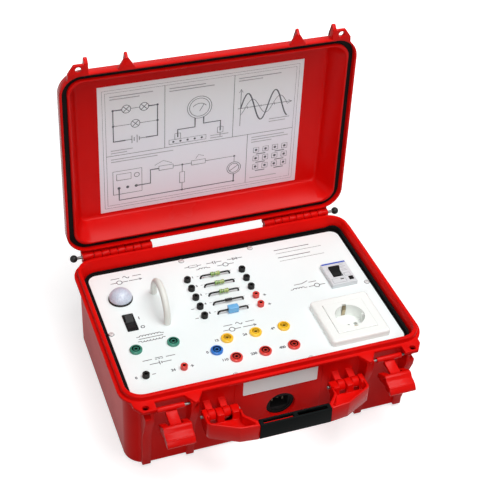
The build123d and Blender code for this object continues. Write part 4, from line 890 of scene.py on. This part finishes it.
# %% Border the label
WELD_INSET, WELD_WIDTH = 0.7, 1.3
label_low, label_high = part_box("label_plate")
half_w = (label_high.x - label_low.x) / 2 / MM - WELD_INSET
half_h = (label_high.z - label_low.z) / 2 / MM - WELD_INSET
border_ink = bmesh.new()
draw_on(border_ink, plane_before(label_low, label_high), [rectangle(-half_w, -half_h, half_w, half_h)],
        width=WELD_WIDTH)
weld_pale = finish("weld_pale", (0.98, 0.94, 0.94), (0.92, 0.88, 0.88), depth_mm=0.02, roughness=0.3)
ink_piece("label_border", border_ink, weld_pale, "case")

# %% [markdown]
# ## The instruction sheet
#
# A pale sheet is glued inside the lid. It carries a thin frame and small line drawings. These are plain
# textbook circuits, drawn with the same strokes. The lid stands upright when it is open, so the sheet's
# plane is found from its box, like the label's.

# %% Helpers for the sheet
SHEET_PLANE = plane_before(sheet_low, sheet_high)
ink_dark = finish("ink_dark", (0.10, 0.11, 0.13), (0.07, 0.08, 0.10), depth_mm=0.003, roughness=0.5)
ink_pale = finish("ink_pale", (0.42, 0.43, 0.46), (0.36, 0.37, 0.40), depth_mm=0.003, roughness=0.5)
sheet_lines = bmesh.new()
sheet_bars = bmesh.new()
print("sheet centre", [round(value, 4) for value in SHEET_PLANE.translation])


def draw(strokes, x=0.0, y=0.0, width=0.6, into=sheet_lines):
    """Strokes on the sheet, with x to the right and y up from its middle, in millimetres."""
    draw_on(into, SHEET_PLANE, strokes, x, y, width)


def ring(x, y, radius):
    """A closed circle."""
    return arc(x, y, radius, 0, 360, 24)


def text_bars(x, y, lengths):
    """Short bars that stand for lines of writing."""
    bars = [[(x, y - 4 * row), (x + length, y - 4 * row)] for row, length in enumerate(lengths)]
    draw(bars, width=1.2, into=sheet_bars)


def dots(spots, radius=1.6):
    """Filled spots, each a small ring drawn with a wide stroke."""
    draw([ring(x, y, radius / 2) for x, y in spots], width=radius)


def battery(x, y):
    """Two pairs of plates with short leads, lying along x."""
    plates = [[(at, -half), (at, half)] for at, half in ((-5, 6), (-2, 3), (2, 6), (5, 3))]
    draw([[(-14, 0), (-5, 0)], *plates, [(5, 0), (14, 0)]], x, y, 0.9)


def bulb(x, y):
    """A lamp's ring and cross."""
    draw([ring(0, 0, 6), [(-4.2, -4.2), (4.2, 4.2)], [(-4.2, 4.2), (4.2, -4.2)]], x, y, 0.9)


# %% Draw the frame, the writing and a battery with three lamps
HEAVY = 1.9
draw([rectangle(-136, -93, 136, 93), rectangle(-132, -89, 132, 89)], width=0.5)
draw([[(-132, -8), (132, -8)], [(-52, -8), (-52, 89)], [(44, -8), (44, 89)], [(66, -8), (66, -89)]],
     width=0.7)
for x, y, lengths in ((-126, 83, (58, 40)), (-46, 83, (50, 62)), (50, 83, (60, 34)), (-126, -14, (86, 64)),
                      (72, -14, (48, 54, 30)), (-126, 0, (30, 22)), (12, 0, (26, 18)), (72, -82, (40,))):
    text_bars(x, y, lengths)
battery(-92, 14)
draw([[(-106, 14), (-122, 14), (-122, 62), (-110, 62)], [(-78, 14), (-62, 14), (-62, 62), (-74, 62)]],
     width=HEAVY)
draw([[(-98, 62), (-86, 62)], [(-122, 38), (-98, 38)], [(-86, 38), (-62, 38)]], width=0.7)
for x, y in ((-104, 62), (-80, 62), (-92, 38)):
    bulb(x, y)
dots([(-122, 38), (-62, 38), (-122, 62), (-62, 62)])

# %% Draw a meter with two probes on a board of terminals
draw([ring(-4, 48, 17), ring(-4, 48, 14), arc(-4, 42, 12, 40, 140), [(-4, 42), (2, 52)]], width=0.8)
draw([[(-10, 32), (-10, 18), (-34, 18), (-34, 6)], [(2, 32), (2, 22), (26, 22), (26, 6)]], width=HEAVY)
draw([rectangle(-46, -4, 6, 3)], width=0.7)
dots([(-40 + 10 * step, -0.5) for step in range(5)])
draw([rectangle(-38, 3, -30, 12), rectangle(22, 3, 30, 12), [(26, 3), (26, -3)]], width=0.8)

# %% Draw two waves on one pair of axes
draw([[(54, 8), (54, 66)], [(50, 36), (128, 36)]], width=0.8)
draw([[(51.5, 61), (54, 66), (56.5, 61)], [(123, 38.5), (128, 36), (123, 33.5)]], width=0.8)
for high, late, weight in ((22, 0, HEAVY), (12, 1.1, 0.7)):
    wave = [(54 + 2.2 * step, 36 + high * math.sin(0.35 * step - late)) for step in range(32)]
    draw([wave], width=weight)
draw([[(54 + 9.8 * step, 34), (54 + 9.8 * step, 38)] for step in range(1, 7)], width=0.6)
text_bars(96, 12, (30, 24))

# %% Draw a supply that feeds two branches, one with a motor
draw([rectangle(-124, -72, -84, -34), rectangle(-119, -49, -99, -39), ring(-91, -44, 3.5)], width=0.9)
dots([(-116, -62), (-104, -62), (-92, -62)], 2.2)
draw([[(-116, -62), (-116, -82), (48, -82), (48, -70)], [(-92, -62), (-72, -62), (-72, -40), (-60, -40)]],
     width=HEAVY)
draw([rectangle(-60, -43.5, -40, -36.5), [(-40, -40), (-14, -40)], rectangle(-14, -43.5, 6, -36.5),
      [(6, -40), (48, -40), (48, -50)], [(-27, -40), (-27, -52)], rectangle(-30.5, -70, -23.5, -52),
      [(-27, -70), (-27, -82)]], width=0.9)
draw([ring(48, -60, 10), ring(48, -60, 7.5), [(42, -64), (54, -56)]], width=0.9)
dots([(-27, -40), (-27, -82), (48, -40), (48, -82)])
draw([[(-66, -34), (-54, -28), (-42, -34)], [(-8, -34), (-4, -28), (4, -31)]], width=0.6)

# %% Draw a block of terminals, joined in pairs
columns = [80 + 14 * column for column in range(4)]
for y in (-36, -50, -64):
    draw([rectangle(x - 4, y - 4, x + 4, y + 4) for x in columns], width=0.7)
    dots([(x, y) for x in columns], 2.0)
    draw([[(80, y - 7), (94, y - 7)], [(108, y - 7), (122, y - 7)]], width=1.4)
ink_piece("sheet_drawing", sheet_lines, ink_dark, "lid")
ink_piece("sheet_writing_bars", sheet_bars, ink_pale, "lid")

# %% [markdown]
# ## The stage and the light
#
# The photograph was taken on white with light from above, so the tops are bright and the front is deep
# in tone. A wide soft lamp overhead gives that, a smaller one in front lifts the walls, and the sky adds
# only a little. To the camera, and in reflections, the sky and the floor are plain white, but they light
# the case weakly. A Light Path node tells those rays apart.

# %% The rays that see white
def white_rays(tree):
    """A socket that is one for camera, glossy and transmission rays, and nought for the others."""
    paths = add_node(tree, "ShaderNodeLightPath")
    mask = paths.outputs["Is Camera Ray"]
    for kind in ("Is Glossy Ray", "Is Transmission Ray"):
        either = add_node(tree, "ShaderNodeMath", operation="MAXIMUM")
        tree.links.new(mask, either.inputs[0])
        tree.links.new(paths.outputs[kind], either.inputs[1])
        mask = either.outputs["Value"]
    return mask


# %% The sky
SKY_LIGHT, SKY_WHITE = 0.06, 1.0
world = bpy.data.worlds.new("studio")
bpy.context.scene.world = world
world.use_nodes = True
sky = world.node_tree
background = sky.nodes["Background"]
background.inputs["Color"].default_value = (1, 1, 1, 1)
sky.links.new(add_range(sky, white_rays(sky), 0.0, 1.0, SKY_LIGHT, SKY_WHITE),
              background.inputs["Strength"])
print("the sky lights the case at", SKY_LIGHT)

# %% [markdown]
# The floor is a sheet of studio paper. It has to catch the shadow and still look white, so for the rays
# that see white it glows as well as taking light. The glow grows with the distance from the case, where
# the shadow has ended and the lamps' light falls off.

# %% The floor
FLOOR_DROP, FLOOR_HALF = 0.0005, 4.0
NEAR_M, FAR_M, NEAR_GLOW, FAR_GLOW = 0.35, 1.2, 0.62, 1.1
DIM_GREY = (0.3, 0.3, 0.3, 1)
plane = bmesh.new()
bmesh.ops.create_grid(plane, x_segments=1, y_segments=1, size=FLOOR_HALF)
bmesh.ops.translate(plane, verts=plane.verts, vec=(0, 0, -FLOOR_DROP))
floor = bpy.data.objects.new("floor", baked("floor", plane))
bpy.context.scene.collection.objects.link(floor)
paper = finish("studio_paper", (0.66, 0.66, 0.66), (0.65, 0.65, 0.65), depth_mm=0.0, roughness=0.9)
floor.data.materials.append(paper)
tree = paper.node_tree
place = add_node(tree, "ShaderNodeTexCoord")
away = add_node(tree, "ShaderNodeVectorMath", operation="LENGTH")
glow = add_node(tree, "ShaderNodeEmission", Color=(1, 1, 1, 1))
tree.links.new(place.outputs["Object"], away.inputs[0])
tree.links.new(add_range(tree, away.outputs["Value"], NEAR_M, FAR_M, NEAR_GLOW, FAR_GLOW),
               glow.inputs["Strength"])
lit = add_node(tree, "ShaderNodeAddShader")
tree.links.new(tree.nodes["Principled BSDF"].outputs["BSDF"], lit.inputs[0])
tree.links.new(glow.outputs["Emission"], lit.inputs[1])
dim = add_node(tree, "ShaderNodeBsdfDiffuse", Color=DIM_GREY)
choose = add_node(tree, "ShaderNodeMixShader")
tree.links.new(white_rays(tree), choose.inputs["Fac"])
tree.links.new(dim.outputs["BSDF"], choose.inputs[1])
tree.links.new(lit.outputs["Shader"], choose.inputs[2])
output = next(node for node in tree.nodes if node.bl_idname == "ShaderNodeOutputMaterial")
tree.links.new(choose.outputs["Shader"], output.inputs["Surface"])
print("the floor is", 2 * FLOOR_HALF, "m wide")


# %% The lamps
def soft_lamp(name, at, aim, size, watts):
    """A square area lamp that points at a spot."""
    lamp_object = bpy.data.objects.new(name, bpy.data.lights.new(name, "AREA"))
    bpy.context.scene.collection.objects.link(lamp_object)
    lamp_object.data.size = size
    lamp_object.data.energy = watts
    way = Vector(aim) - Vector(at)
    lamp_object.matrix_world = Matrix.Translation(at) @ way.to_track_quat("-Z", "Y").to_matrix().to_4x4()
    print(name, watts, "W,", size, "m wide")


soft_lamp("overhead", (0.5, -0.4, 2.6), (0, 0, 0.1), 1.8, 62.0)
soft_lamp("front_box", (-0.7, -1.8, 1.65), (0, 0, 0.15), 1.4, 20.5)
